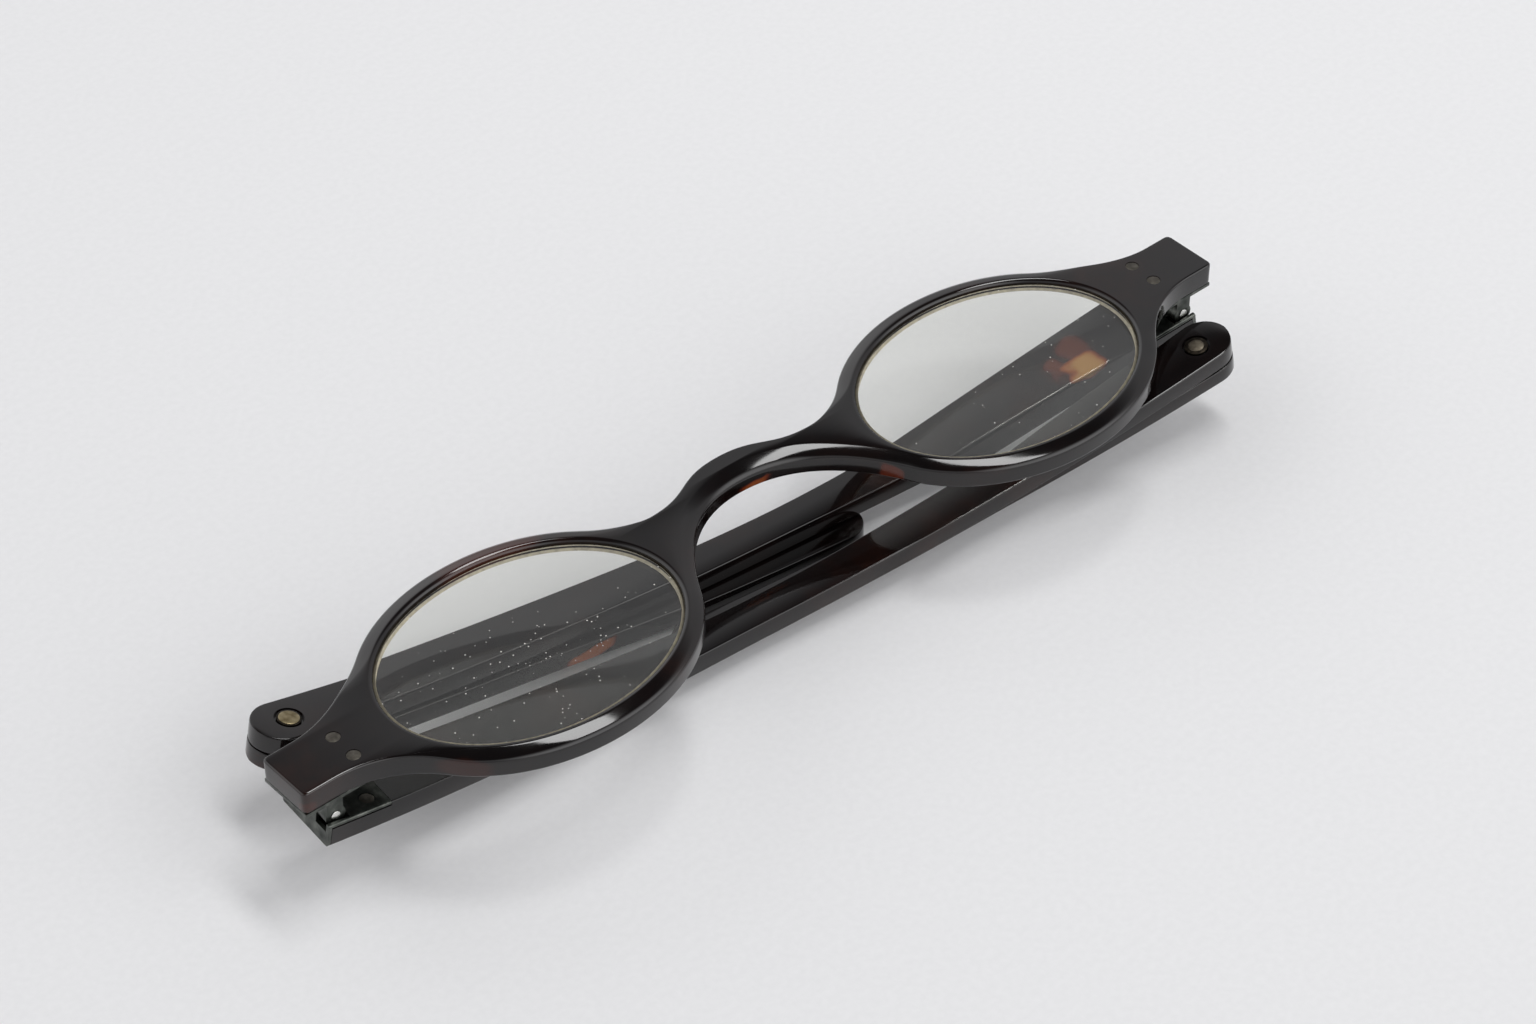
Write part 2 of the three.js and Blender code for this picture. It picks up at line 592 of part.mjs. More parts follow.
// Side leaf: a plate let into the bar, turned down over its end, with a knuckle on the hinge axis
function sideLeafGeometry() {
	const leaf = bowedBar(bowCentre, [barEndAlong, SIDE_LEAF_LENGTH / 2, SIDE_LEAF_LENGTH]
		.map((place) => frontBarStation(place, frontBarHalf(place), 0, SIDE_LEAF_THICKNESS)));
	const cap = bowedBar(bowCentre, [barEndAlong, barEndAlong + LEAF_CAP_THICKNESS]
		.map((place) => frontBarStation(place)));
	const round = new THREE.Shape().absarc(0, 0, KNUCKLE_RADIUS, 0, 2 * Math.PI, false);
	const knuckle = runAlongY(round, -KNUCKLE_LENGTH / 2, KNUCKLE_LENGTH / 2);
	const earWells = [-1, 1].flatMap((sign) => {
		const places = [sign * KNUCKLE_LENGTH / 2, sign * wellEnd].sort((a, b) => a - b);
		return earClearance(...places);
	});
	return toGeometry(cut(join([leaf, cap, knuckle]), [
		...earWells,
		crossDrill(HINGE_PIN_RADIUS + PIN_CLEARANCE, -earOuter, earOuter),
		...leafRivetHoles(),
	]));
}

function rearBarGeometry(table) {
	const tipCentre = REAR_LENGTH - REAR_TIP_WIDTH / 2;
	const station = (fromPin, halfWidth = rearBarHalf(fromPin)) => ({
		angle: fromPin / BOW_RADIUS,
		halfWidth,
		top: rearTopDepth(fromPin),
		bottom: rearTopDepth(fromPin) + REAR_THICKNESS,
	});
	const stations = [
		...roundEnd(-END_PAST_PIN, REAR_PIN_WIDTH / 2, -1).reverse().map(({ along, half }) => station(along, half)),
		...evenSteps(-END_PAST_PIN, tipCentre).map((fromPin) => station(fromPin)),
		...roundEnd(tipCentre, REAR_TIP_WIDTH / 2, 1).map(({ along, half }) => station(along, half)),
	];
	const geometry = bowedBar(new THREE.Vector3(0, 0, BOW_RADIUS), stations);
	const position = geometry.attributes.position;
	const point = new THREE.Vector3();
	for (let i = 0; i < position.count; i++) {
		point.fromBufferAttribute(position, i);
		const above = table.distanceToPoint(point);
		if (above < 0) {
			point.addScaledVector(table.normal, -above);
			position.setXYZ(i, point.x, point.y, point.z);
		}
	}
	return toGeometry(cut(toSolid(geometry), [
		drill(TURN_PIN_RADIUS + PIN_CLEARANCE, -2 * stackAtPin, stackAtPin),
	]));
}

// Turn pin along Z: a head under the rear bar, a shank through both bars and a peened end over the washer
function turnPinGeometry() {
	const foot = -stackAtPin - SEAT_GAP;
	const top = SEAT_GAP / 2;
	const profile = new THREE.Path();
	profile.moveTo(0, foot - TURN_PIN_HEAD_HEIGHT);
	const headShoulder = TURN_PIN_HEAD_RADIUS * DOME_FULLNESS;
	profile.quadraticCurveTo(headShoulder, foot - TURN_PIN_HEAD_HEIGHT, TURN_PIN_HEAD_RADIUS, foot);
	profile.lineTo(TURN_PIN_RADIUS, foot);
	profile.lineTo(TURN_PIN_RADIUS, top);
	profile.lineTo(TURN_PIN_PEEN_RADIUS, top);
	const peenShoulder = TURN_PIN_PEEN_RADIUS * DOME_FULLNESS;
	profile.quadraticCurveTo(peenShoulder, top + TURN_PIN_PEEN_HEIGHT, 0, top + TURN_PIN_PEEN_HEIGHT);
	return new THREE.LatheGeometry(profile.getPoints(CORNER_STEPS), ROUND_STEPS).rotateX(Math.PI / 2);
}

function washerGeometry() {
	const ring = new THREE.Shape().absarc(0, 0, WASHER_RADIUS, 0, 2 * Math.PI, false);
	ring.holes = [circleHole(0, 0, TURN_PIN_RADIUS + PIN_CLEARANCE)];
	return new THREE.ExtrudeGeometry(ring, {
		depth: WASHER_THICKNESS, bevelEnabled: false, curveSegments: ROUND_STEPS / 2,
	}).translate(0, 0, -WASHER_THICKNESS);
}

function add(group, name, geometry, material) {
	const mesh = new THREE.Mesh(geometry, material);
	mesh.name = name;
	group.add(mesh);
	return mesh;
}

const spectacles = new THREE.Group();

// The front with its lenses
add(spectacles, 'front_frame', frontGeometry(), shell()).position.z = faceHeight;
for (const [side, sign] of [['left', -1], ['right', 1]]) {
	add(spectacles, `${side}_lens`, lensGeometry(), glass())
		.position.set(sign * lensX, 0, faceHeight - GROOVE_BELOW_FACE);
}

// Both ends are alike but for the lean: the right one is the left one turned half round
for (const [side, sign] of [['left', -1], ['right', 1]]) {
	const lean = THREE.MathUtils.degToRad(SIDE_LEAN[side]);
	const hinge = new THREE.Group();
	hinge.position.set(sign * hingeX, END_CENTRE, axisHeight);
	hinge.rotation.z = sign > 0 ? Math.PI : 0;
	spectacles.add(hinge);

	// Hinge parts on the front
	add(hinge, `${side}_front_leaf`, frontLeafGeometry(lean), steel());
	add(hinge, `${side}_hinge_pin`, hingePinGeometry(lean), steel());
	rivetRows.forEach((row, i) => {
		add(hinge, `${side}_end_rivet_${rowNames[side][i]}`,
			rod(RIVET_RADIUS, axisToLeaf, axisToBack + FRONT_THICKNESS - RIVET_DOME, RIVET_DOME), brass())
			.position.set(END_RIVET_INBOARD, row, 0);
	});

	// Front bar with its leaf, in the side's leaning frame
	const bars = new THREE.Group();
	bars.rotation.z = -lean;
	hinge.add(bars);
	add(bars, `${side}_front_bar`, frontBarGeometry(), shell());
	add(bars, `${side}_side_leaf`, sideLeafGeometry(), steel());
	rivetRows.forEach((row, i) => {
		const rivet = rod(RIVET_RADIUS, RIVET_DOME - FRONT_BAR_HINGE_THICKNESS, -RIVET_DOME, RIVET_DOME);
		add(bars, `${side}_leaf_rivet_${rowNames[side][i]}`, setOnBow(rivet, LEAF_RIVET_INBOARD, row), brass());
	});

	// Turn pin frame: +Z along the pin, +X back along the bars towards the hinge
	const turn = new THREE.Group();
	turn.position.copy(bowPoint(bowCentre, pinAngle, 0, 0));
	turn.rotation.set(0, -pinAngle, Math.PI, 'YZX');
	bars.add(turn);
	add(turn, `${side}_turn_pin`, turnPinGeometry(), brass());
	add(turn, `${side}_pin_washer`, washerGeometry(), brass());

	const rear = new THREE.Group();
	rear.rotation.z = -THREE.MathUtils.degToRad(REAR_FOLD_LEAN[side]);
	turn.add(rear);
	spectacles.updateMatrixWorld(true);
	const table = new THREE.Plane(new THREE.Vector3(0, 0, 1), 0).applyMatrix4(rear.matrixWorld.clone().invert());
	add(rear, `${side}_rear_bar`, rearBarGeometry(table), shell());
}

export default spectacles;
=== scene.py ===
"""Turn-pin spectacles of dark polished shell, folded and lying face up on pale paper."""

import json
import logging
import math
from collections.abc import Callable, Sequence
from dataclasses import dataclass, field
from enum import Enum

import bmesh
import bpy
from mathutils import Matrix, Vector
from mathutils.geometry import tessellate_polygon


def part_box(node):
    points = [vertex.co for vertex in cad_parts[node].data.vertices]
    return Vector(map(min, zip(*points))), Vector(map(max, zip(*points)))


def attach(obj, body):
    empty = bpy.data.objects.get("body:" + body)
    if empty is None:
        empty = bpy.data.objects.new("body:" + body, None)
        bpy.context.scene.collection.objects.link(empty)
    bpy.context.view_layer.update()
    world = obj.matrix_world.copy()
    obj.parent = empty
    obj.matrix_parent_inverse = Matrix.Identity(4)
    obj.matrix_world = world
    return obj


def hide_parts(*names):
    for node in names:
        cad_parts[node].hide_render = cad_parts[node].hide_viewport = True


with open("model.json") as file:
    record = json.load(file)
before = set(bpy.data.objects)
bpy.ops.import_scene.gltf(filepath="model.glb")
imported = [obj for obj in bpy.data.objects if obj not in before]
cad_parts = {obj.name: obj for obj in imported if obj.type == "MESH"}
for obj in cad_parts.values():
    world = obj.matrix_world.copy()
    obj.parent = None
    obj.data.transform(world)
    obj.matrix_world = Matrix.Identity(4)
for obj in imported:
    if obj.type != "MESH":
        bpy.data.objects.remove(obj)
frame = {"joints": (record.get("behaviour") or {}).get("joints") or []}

MM = 0.001
SQUARE_CM = 1e-4
SAME_POINT_MM = 1e-5
NOISE_MEAN = (0.5, 0.5, 0.5)
END_HEIGHT_MM = 6.7
LENS_BEVEL_MM = 0.4
LOG = logging.getLogger("spectacles")

Loop = list[Vector]
Ring = list[Vector]
Profile = Sequence[tuple[float, float]]
Station = tuple[float, float, float, float]
Caps = tuple[list[list[int]], list[list[int]]]


class Slot(Enum):
    """The record's material slots."""

    SHELL = "tortoiseshell"
    GLASS = "lens_glass"
    STEEL = "hinge_steel"
    BRASS = "pin_brass"


class Side(Enum):
    """The two ends of the front, seen from its face: left is -X and right is +X."""

    LEFT = "left"
    RIGHT = "right"

    @property
    def sign(self) -> int:
        """-1 on the left and 1 on the right."""
        return -1 if self is Side.LEFT else 1

    def named(self, piece: str) -> str:
        """The name of this side's own copy of a piece."""
        return f"{self.value}_{piece}"


def linear(hex_colour: str) -> tuple[float, float, float, float]:
    """Turns an sRGB hex colour into linear RGBA.

    Args:
        hex_colour: Six hex digits.

    Returns:
        Red, green and blue as linear values, and an alpha of 1.
    """
    shares = [int(hex_colour[i:i + 2], 16) / 255 for i in (0, 2, 4)]
    red, green, blue = [s / 12.92 if s <= 0.04045 else ((s + 0.055) / 1.055) ** 2.4 for s in shares]
    return red, green, blue, 1.0


def per_metre(size_mm: float) -> float:
    """The texture scale, on coordinates in metres, of a pattern with features of this size."""
    return 1 / (size_mm * MM)


def add_node(tree: bpy.types.NodeTree, kind: str, inputs: dict | None = None,
             **settings: object) -> bpy.types.Node:
    """Adds one node to a tree.

    Args:
        tree: The shader or geometry tree.
        kind: The node's type name.
        inputs: Input name or index to a value, or to the socket that is linked to it.
        **settings: The node's own settings.

    Returns:
        The new node.
    """
    node = tree.nodes.new(kind)
    for name, value in settings.items():
        setattr(node, name, value)
    for key, value in (inputs or {}).items():
        if isinstance(value, bpy.types.NodeSocket):
            tree.links.new(value, node.inputs[key])
        else:
            node.inputs[key].default_value = value
    return node


def set_ramp(node: bpy.types.Node, stops: Sequence[tuple[float, str]]) -> None:
    """Gives a colour ramp its stops.

    Args:
        node: The ramp.
        stops: Place and sRGB hex colour of each stop, in order.
    """
    elements = node.color_ramp.elements
    while len(elements) < len(stops):
        elements.new(1.0)
    for element, (place, colour) in zip(elements, stops):
        element.position = place
        element.color = linear(colour)


def new_material(name: str) -> tuple[bpy.types.Material, bpy.types.NodeTree, bpy.types.Node]:
    """Makes a material with one Principled shader.

    Args:
        name: The material's name.

    Returns:
        The material, its tree and its shader.
    """
    material = bpy.data.materials.new(name)
    material.use_nodes = True
    tree = material.node_tree
    return material, tree, tree.nodes["Principled BSDF"]


@dataclass(frozen=True)
class AmberAndPaintedLightPatch:
    """A patch of amber tone in the shell: its own clear amber in most, painted light in some.

    Attributes:
        centre_mm: Its heart.
        reach_mm: How far it reaches from there along each axis.
        turn_deg: Its turn about the upright.
        depth: How far along the patch tones its heart comes.
    """

    centre_mm: tuple[float, float, float]
    reach_mm: tuple[float, float, float]
    turn_deg: float = 0.0
    depth: float = 1.0


@dataclass(frozen=True)
class PolishedTortoiseshell:
    """Horn-like shell plate, scraped and hand polished: almost black, red-brown where light gets in."""

    name: str = "polished_tortoiseshell"
    clouds: tuple[tuple[float, str], ...] = (
        (0.4, "0B0808"), (0.56, "110A09"), (0.7, "1E0F0B"), (0.84, "32150E"))
    # Tones of the clear amber patches, also used for the painted sheen and the painted glow.
    amber_and_painted_light: tuple[tuple[float, str], ...] = (
        (0.0, "110A09"), (0.3, "4E1E0F"), (0.6, "8A481E"), (1.0, "B0854C"))
    cloud_mm: float = 11.0
    cloud_detail: float = 4.0
    cloud_roughness: float = 0.62
    warp_mm: float = 5.0
    warp_reach_mm: float = 2.4
    haze_mm: float = 3.5
    haze_range: tuple[float, float] = (0.3, 0.75)
    roughness: tuple[float, float] = (0.05, 0.11)
    ripple_mm: float = 1.6
    ripple_depth_mm: float = 0.004
    ripple_strength: float = 0.12
    refractive_index: float = 1.54
    amber_and_painted_light_core: float = 0.05
    amber_and_painted_light_patches: tuple[AmberAndPaintedLightPatch, ...] = ()

    def material(self) -> bpy.types.Material:
        """Builds the shell: mottled colour, amber patches with a painted sheen and a painted glow among them,
        and a polish that isn't quite even.

        Returns:
            The material.
        """
        material, tree, shader = new_material(self.name)
        coords = add_node(tree, "ShaderNodeTexCoord").outputs["Object"]
        stir = add_node(tree, "ShaderNodeTexNoise", {"Vector": coords, "Scale": per_metre(self.warp_mm)})
        centred = add_node(tree, "ShaderNodeVectorMath",
                           {0: stir.outputs["Color"], 1: NOISE_MEAN}, operation="SUBTRACT")
        reach = add_node(tree, "ShaderNodeVectorMath",
                         {0: centred.outputs[0], "Scale": self.warp_reach_mm * MM}, operation="SCALE")
        warped = add_node(tree, "ShaderNodeVectorMath", {0: coords, 1: reach.outputs[0]}).outputs[0]

        clouds = add_node(tree, "ShaderNodeTexNoise", {
            "Vector": warped, "Scale": per_metre(self.cloud_mm),
            "Detail": self.cloud_detail, "Roughness": self.cloud_roughness})
        mottle = add_node(tree, "ShaderNodeValToRGB", {"Fac": clouds.outputs["Fac"]})
        set_ramp(mottle, self.clouds)
        colour = mottle.outputs["Color"]
        if self.amber_and_painted_light_patches:
            share = self._amber_and_painted_light_share(tree, warped)
            amber = add_node(tree, "ShaderNodeValToRGB", {"Fac": share})
            set_ramp(amber, self.amber_and_painted_light)
            edge = add_node(tree, "ShaderNodeMapRange", {"Value": share, "From Max": self.amber_and_painted_light[1][0]})
            mixed = add_node(tree, "ShaderNodeMix", {
                "Factor": edge.outputs["Result"], 6: colour, 7: amber.outputs["Color"]}, data_type="RGBA")
            colour = mixed.outputs[2]

        haze = add_node(tree, "ShaderNodeTexNoise", {"Vector": coords, "Scale": per_metre(self.haze_mm)})
        polish = add_node(tree, "ShaderNodeMapRange", {
            "Value": haze.outputs["Fac"],
            "From Min": self.haze_range[0], "From Max": self.haze_range[1],
            "To Min": self.roughness[0], "To Max": self.roughness[1]})
        ripple = add_node(tree, "ShaderNodeTexNoise", {"Vector": coords, "Scale": per_metre(self.ripple_mm)})
        bump = add_node(tree, "ShaderNodeBump", {
            "Height": ripple.outputs["Fac"], "Strength": self.ripple_strength,
            "Distance": self.ripple_depth_mm * MM})
        tree.links.new(colour, shader.inputs["Base Color"])
        tree.links.new(polish.outputs["Result"], shader.inputs["Roughness"])
        tree.links.new(bump.outputs["Normal"], shader.inputs["Normal"])
        shader.inputs["IOR"].default_value = self.refractive_index
        return material

    def _amber_and_painted_light_share(self, tree: bpy.types.NodeTree, warped: bpy.types.NodeSocket) -> bpy.types.NodeSocket:
        """How far each point lies inside the nearest of the amber and painted-light patches.

        Args:
            tree: The material's tree.
            warped: Stirred object coordinates.

        Returns:
            A value from 0 outside to 1 at a patch's heart.
        """
        share = None
        for amber_and_painted_light in self.amber_and_painted_light_patches:
            local = add_node(tree, "ShaderNodeMapping", {
                "Vector": warped,
                "Location": [value * MM for value in amber_and_painted_light.centre_mm],
                "Rotation": (0.0, 0.0, math.radians(amber_and_painted_light.turn_deg)),
                "Scale": [value * MM for value in amber_and_painted_light.reach_mm]}, vector_type="TEXTURE")
            square = add_node(tree, "ShaderNodeVectorMath", {
                0: local.outputs[0], 1: local.outputs[0]}, operation="MULTIPLY").outputs[0]
            away = add_node(tree, "ShaderNodeVectorMath", {0: square, 1: square}, operation="DOT_PRODUCT")
            inside = add_node(tree, "ShaderNodeMapRange", {
                "Value": away.outputs["Value"], "From Min": 1.0, "From Max": self.amber_and_painted_light_core,
                "To Max": amber_and_painted_light.depth}, interpolation_type="SMOOTHSTEP").outputs["Result"]
            if share is not None:
                inside = add_node(tree, "ShaderNodeMath", {
                    0: share, 1: inside}, operation="MAXIMUM").outputs[0]
            share = inside
        return share


@dataclass(frozen=True)
class WornMetal:
    """A drawn or filed metal that has dulled with age and is rubbed brighter in places."""

    name: str
    tones: tuple[tuple[float, str], ...]
    patch_mm: float
    grit_mm: float
    roughness: tuple[float, float]
    patch_detail: float = 3.0
    grit_detail: float = 2.0
    grit_range: tuple[float, float] = (0.3, 0.7)
    grit_depth_mm: float = 0.01
    grit_strength: float = 0.35

    def material(self) -> bpy.types.Material:
        """Builds the metal: patches of tarnish, and grit from the file in its gloss and bump.

        Returns:
            The material.
        """
        material, tree, shader = new_material(self.name)
        coords = add_node(tree, "ShaderNodeTexCoord").outputs["Object"]
        patches = add_node(tree, "ShaderNodeTexNoise", {
            "Vector": coords, "Scale": per_metre(self.patch_mm), "Detail": self.patch_detail})
        tone = add_node(tree, "ShaderNodeValToRGB", {"Fac": patches.outputs["Fac"]})
        set_ramp(tone, self.tones)
        # A file's real marks are finer: these are as coarse as they need to be to show.
        grit = add_node(tree, "ShaderNodeTexNoise", {
            "Vector": coords, "Scale": per_metre(self.grit_mm), "Detail": self.grit_detail})
        gloss = add_node(tree, "ShaderNodeMapRange", {
            "Value": grit.outputs["Fac"],
            "From Min": self.grit_range[0], "From Max": self.grit_range[1],
            "To Min": self.roughness[0], "To Max": self.roughness[1]})
        bump = add_node(tree, "ShaderNodeBump", {
            "Height": grit.outputs["Fac"], "Strength": self.grit_strength,
            "Distance": self.grit_depth_mm * MM})
        tree.links.new(tone.outputs["Color"], shader.inputs["Base Color"])
        tree.links.new(gloss.outputs["Result"], shader.inputs["Roughness"])
        tree.links.new(bump.outputs["Normal"], shader.inputs["Normal"])
        shader.inputs["Metallic"].default_value = 1.0
        return material


@dataclass(frozen=True)
class CrownGlass:
    """Ground and polished spectacle glass: clear, with the environment lying on it as a thin veil."""

    name: str = "polished_crown_glass"
    tint: str = "F7F8F4"
    refractive_index: float = 1.52

    def material(self) -> bpy.types.Material:
        """Builds the clear glass.

        Returns:
            The material.
        """
        material, _, shader = new_material(self.name)
        shader.inputs["Base Color"].default_value = linear(self.tint)
        shader.inputs["Roughness"].default_value = 0.0
        shader.inputs["IOR"].default_value = self.refractive_index
        shader.inputs["Transmission Weight"].default_value = 1.0
        return material


@dataclass(frozen=True)
class MattePowder:
    """A dry pale surface with no gloss: ground glass edges, dust and paper."""

    name: str
    light: str
    dark: str
    grain_mm: float
    dark_at: float = 0.3
    light_at: float = 0.7
    roughness: float = 0.9
    specular: float = 0.2

    def material(self) -> bpy.types.Material:
        """Builds the powdery surface with a fine grain.

        Returns:
            The material.
        """
        material, tree, shader = new_material(self.name)
        coords = add_node(tree, "ShaderNodeTexCoord").outputs["Object"]
        grain = add_node(tree, "ShaderNodeTexNoise", {"Vector": coords, "Scale": per_metre(self.grain_mm)})
        tone = add_node(tree, "ShaderNodeValToRGB", {"Fac": grain.outputs["Fac"]})
        set_ramp(tone, ((self.dark_at, self.dark), (self.light_at, self.light)))
        tree.links.new(tone.outputs["Color"], shader.inputs["Base Color"])
        shader.inputs["Roughness"].default_value = self.roughness
        shader.inputs["Specular IOR Level"].default_value = self.specular
        return material


@dataclass(frozen=True)
class Finishes:
    """Every finish on the spectacles, built once."""

    shell: bpy.types.Material
    glass: bpy.types.Material
    ground_edge: bpy.types.Material
    dust: bpy.types.Material
    steel: bpy.types.Material
    bright_steel: bpy.types.Material
    brass: bpy.types.Material
    dull_brass: bpy.types.Material
    black_brass: bpy.types.Material
    rivet: bpy.types.Material

    @classmethod
    def build(cls) -> "Finishes":
        """Makes the materials from their finishes.

        Returns:
            All of them.
        """
        amber_and_painted_light_patches = (
            AmberAndPaintedLightPatch((43.0, -0.6, 7.4), (3.3, 1.9, 1.35), turn_deg=6.0),
            AmberAndPaintedLightPatch((44.4, 1.9, 7.4), (2.0, 2.4, 1.35), turn_deg=24.0, depth=0.34),
            AmberAndPaintedLightPatch((40.6, 0.6, 7.2), (2.6, 2.0, 1.4), turn_deg=14.0, depth=0.34),
            AmberAndPaintedLightPatch((-20.8, 5.1, 1.9), (3.4, 1.0, 0.7), turn_deg=-5.0, depth=0.6),
            # Amber under the bridge's arch, with a painted glow of the light coming through the thin shell
            # there.
            AmberAndPaintedLightPatch((2.6, 4.75, 11.8), (3.3, 1.0, 0.95), depth=0.46),
            AmberAndPaintedLightPatch((12.45, -3.6, 12.4), (1.7, 1.5, 1.1), depth=0.3),
            AmberAndPaintedLightPatch((-55.8, 10.4, 7.9), (1.4, 1.3, 0.4), depth=0.5),
            AmberAndPaintedLightPatch((-55.0, 10.4, 6.6), (4.0, 4.0, 1.1), depth=0.14),
            AmberAndPaintedLightPatch((-60.3, -2.6, 12.0), (1.4, 1.4, 0.9), depth=0.17),
            # Painted sheen: a red-brown reflection along the top of the left rim's far side.
            AmberAndPaintedLightPatch((-26.5, 12.6, 13.2), (7.0, 2.6, 2.0), depth=0.2),
            AmberAndPaintedLightPatch((-46.2, -8.6, 12.3), (3.2, 2.6, 1.2), depth=0.15),
        )
        return cls(
            # Nearly black with a wet gloss, and amber where the shell is clear, with a painted sheen on the
            # left rim and a painted glow under the bridge.
            shell=PolishedTortoiseshell(amber_and_painted_light_patches=amber_and_painted_light_patches).material(),
            # Clear, with a thin veil of the room on it.
            glass=CrownGlass().material(),
            # A dry, pale ring round each lens.
            ground_edge=MattePowder(
                "ground_glass_edge", light="BAB29A", dark="979080", grain_mm=0.6).material(),
            # Dry white specks.
            dust=MattePowder(
                "settled_dust", light="F2F0EA", dark="D8D6D0", grain_mm=0.3).material(),
            # Dull grey in patches, with a gloss that the file has broken up, and painted darker for the shade
            # under the end pieces.
            steel=WornMetal(
                "filed_nickel_steel_painted_dark", ((0.3, "3A3D3A"), (0.55, "565955"), (0.75, "757772")),
                patch_mm=1.4, grit_mm=0.25, roughness=(0.28, 0.46)).material(),
            # Pin ends of the same steel, painted brighter for the light that they catch.
            bright_steel=WornMetal(
                "steel_pin_painted_bright", ((0.3, "B4B6B2"), (0.55, "D0D1CD"), (0.75, "E4E4E0")),
                patch_mm=0.8, grit_mm=0.25, roughness=(0.15, 0.3)).material(),
            # A pale, warm pin end, rubbed bright.
            brass=WornMetal(
                "rubbed_aged_brass", ((0.3, "6B5F45"), (0.5, "8C8064"), (0.72, "ABA083")),
                patch_mm=0.9, grit_mm=0.2, roughness=(0.3, 0.5)).material(),
            # The browner pin end of the other side.
            dull_brass=WornMetal(
                "browned_brass", ((0.3, "4A443B"), (0.5, "5E574C"), (0.72, "777062")),
                patch_mm=0.8, grit_mm=0.2, roughness=(0.35, 0.55)).material(),
            # A ring round each pin end, painted near black for the shade in the countersink round it.
            black_brass=WornMetal(
                "brass_ring_painted_with_countersink_shade", ((0.3, "1A1714"), (0.5, "26221D"), (0.72, "39332B")),
                patch_mm=0.6, grit_mm=0.2, roughness=(0.35, 0.55)).material(),
            # Grey-brown discs that just show against the shell.
            rivet=WornMetal(
                "tarnished_brass_rivet", ((0.3, "484540"), (0.55, "5E5A53"), (0.75, "75716A")),
                patch_mm=0.7, grit_mm=0.2, roughness=(0.3, 0.5)).material(),
        )


def placing(origin: Vector, along: Vector, up: Vector) -> Matrix:
    """The matrix that sets a shape drawn in millimetres into the frame.

    Args:
        origin: The shape's origin, in metres.
        along: Direction of the shape's X.
        up: Direction of the shape's Z.

    Returns:
        Scale to metres, turn and place.
    """
    across = up.cross(along)
    turn = Matrix((along, across, up)).transposed().to_4x4()
    return Matrix.Translation(origin) @ turn @ Matrix.Scale(MM, 4)


def crosswise(place: Matrix) -> Matrix:
    """A placing whose Z runs along the old one's Y."""
    return place @ Matrix.Rotation(-math.pi / 2, 4, "X")


def make_piece(name: str, points: Sequence[Vector], faces: Sequence[Sequence[int]], place: Matrix,
               finish: bpy.types.Material) -> bpy.types.Object:
    """Makes a closed mesh with its faces pointing out.

    Args:
        name: The piece's name.
        points: Its points in millimetres.
        faces: Point indices of each face.
        place: Where it goes.
        finish: Its material.

    Returns:
        The piece, at the origin, with its place in its mesh.
    """
    mesh = bpy.data.meshes.new(name)
    mesh.from_pydata([place @ point for point in points], [], faces)
    body = bmesh.new()
    body.from_mesh(mesh)
    bmesh.ops.remove_doubles(body, verts=body.verts, dist=SAME_POINT_MM * MM)
    bmesh.ops.recalc_face_normals(body, faces=body.faces)
    body.to_mesh(mesh)
    body.free()
    mesh.materials.append(finish)
    piece = bpy.data.objects.new(name, mesh)
    bpy.context.scene.collection.objects.link(piece)
    return piece


def bake(piece: bpy.types.Object) -> bpy.types.Object:
    """Turns a piece's modifiers into a plain mesh and removes them.

    Args:
        piece: The piece.

    Returns:
        The same piece.
    """
    depsgraph = bpy.context.evaluated_depsgraph_get()
    depsgraph.update()
    mesh = bpy.data.meshes.new_from_object(piece.evaluated_get(depsgraph))
    piece.modifiers.clear()
    old = piece.data
    piece.data = mesh
    bpy.data.meshes.remove(old)
    mesh.name = piece.name
    return piece


def combine(piece: bpy.types.Object, tools: Sequence[bpy.types.Object], operation: str) -> bpy.types.Object:
    """Joins tools to a piece, or cuts them out of it, and removes them.

    Args:
        piece: The piece to change.
        tools: Closed meshes.
        operation: UNION or DIFFERENCE.

    Returns:
        The changed piece.
    """
    for tool in tools:
        step = piece.modifiers.new(tool.name, "BOOLEAN")
        step.operation = operation
        step.solver = "EXACT"
        step.object = tool
    bake(piece)
    for tool in tools:
        bpy.data.objects.remove(tool)
    return piece


def ease_edges(piece: bpy.types.Object, width_mm: float, angle_deg: float = 40.0,
               segments: int = 2) -> bpy.types.Object:
    """Breaks a piece's sharp edges as a file does.

    Args:
        piece: The piece.
        width_mm: Width of the broken edge.
        angle_deg: Edges sharper than this are broken.
        segments: Faces across the broken edge.

    Returns:
        The piece.
    """
    step = piece.modifiers.new("eased", "BEVEL")
    step.width = width_mm * MM
    step.segments = segments
    step.limit_method = "ANGLE"
    step.angle_limit = math.radians(angle_deg)
    return bake(piece)


def smooth(piece: bpy.types.Object, angle_deg: float = 32.0) -> bpy.types.Object:
    """Shades a piece smooth, but for edges sharper than an angle.

    Args:
        piece: The piece.
        angle_deg: Edges sharper than this stay crisp.

    Returns:
        The same piece.
    """
    piece.data.shade_smooth()
    piece.data.set_sharp_from_angle(angle=math.radians(angle_deg))
    return piece


def settle(piece: bpy.types.Object, body: str, slot: Slot, *nodes: str) -> bpy.types.Object:
    """Sets a finished piece on its body and reports it.

    Args:
        piece: The piece.
        body: The body that it rides on.
        slot: The record's slot for its finish; not used.
        *nodes: The solids that it stands for.

    Returns:
        The piece.
    """
    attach(piece, body)
    if nodes:
        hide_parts(*nodes)
    LOG.info("%s rides on %s with %d faces", piece.name, body, len(piece.data.polygons))
    return piece


def band(start_a: int, start_b: int, count: int) -> list[tuple[int, int, int, int]]:
    """Quads between two closed rings of equal count, given where each one's points start."""
    return [(start_a + i, start_b + i, start_b + (i + 1) % count, start_a + (i + 1) % count)
            for i in range(count)]


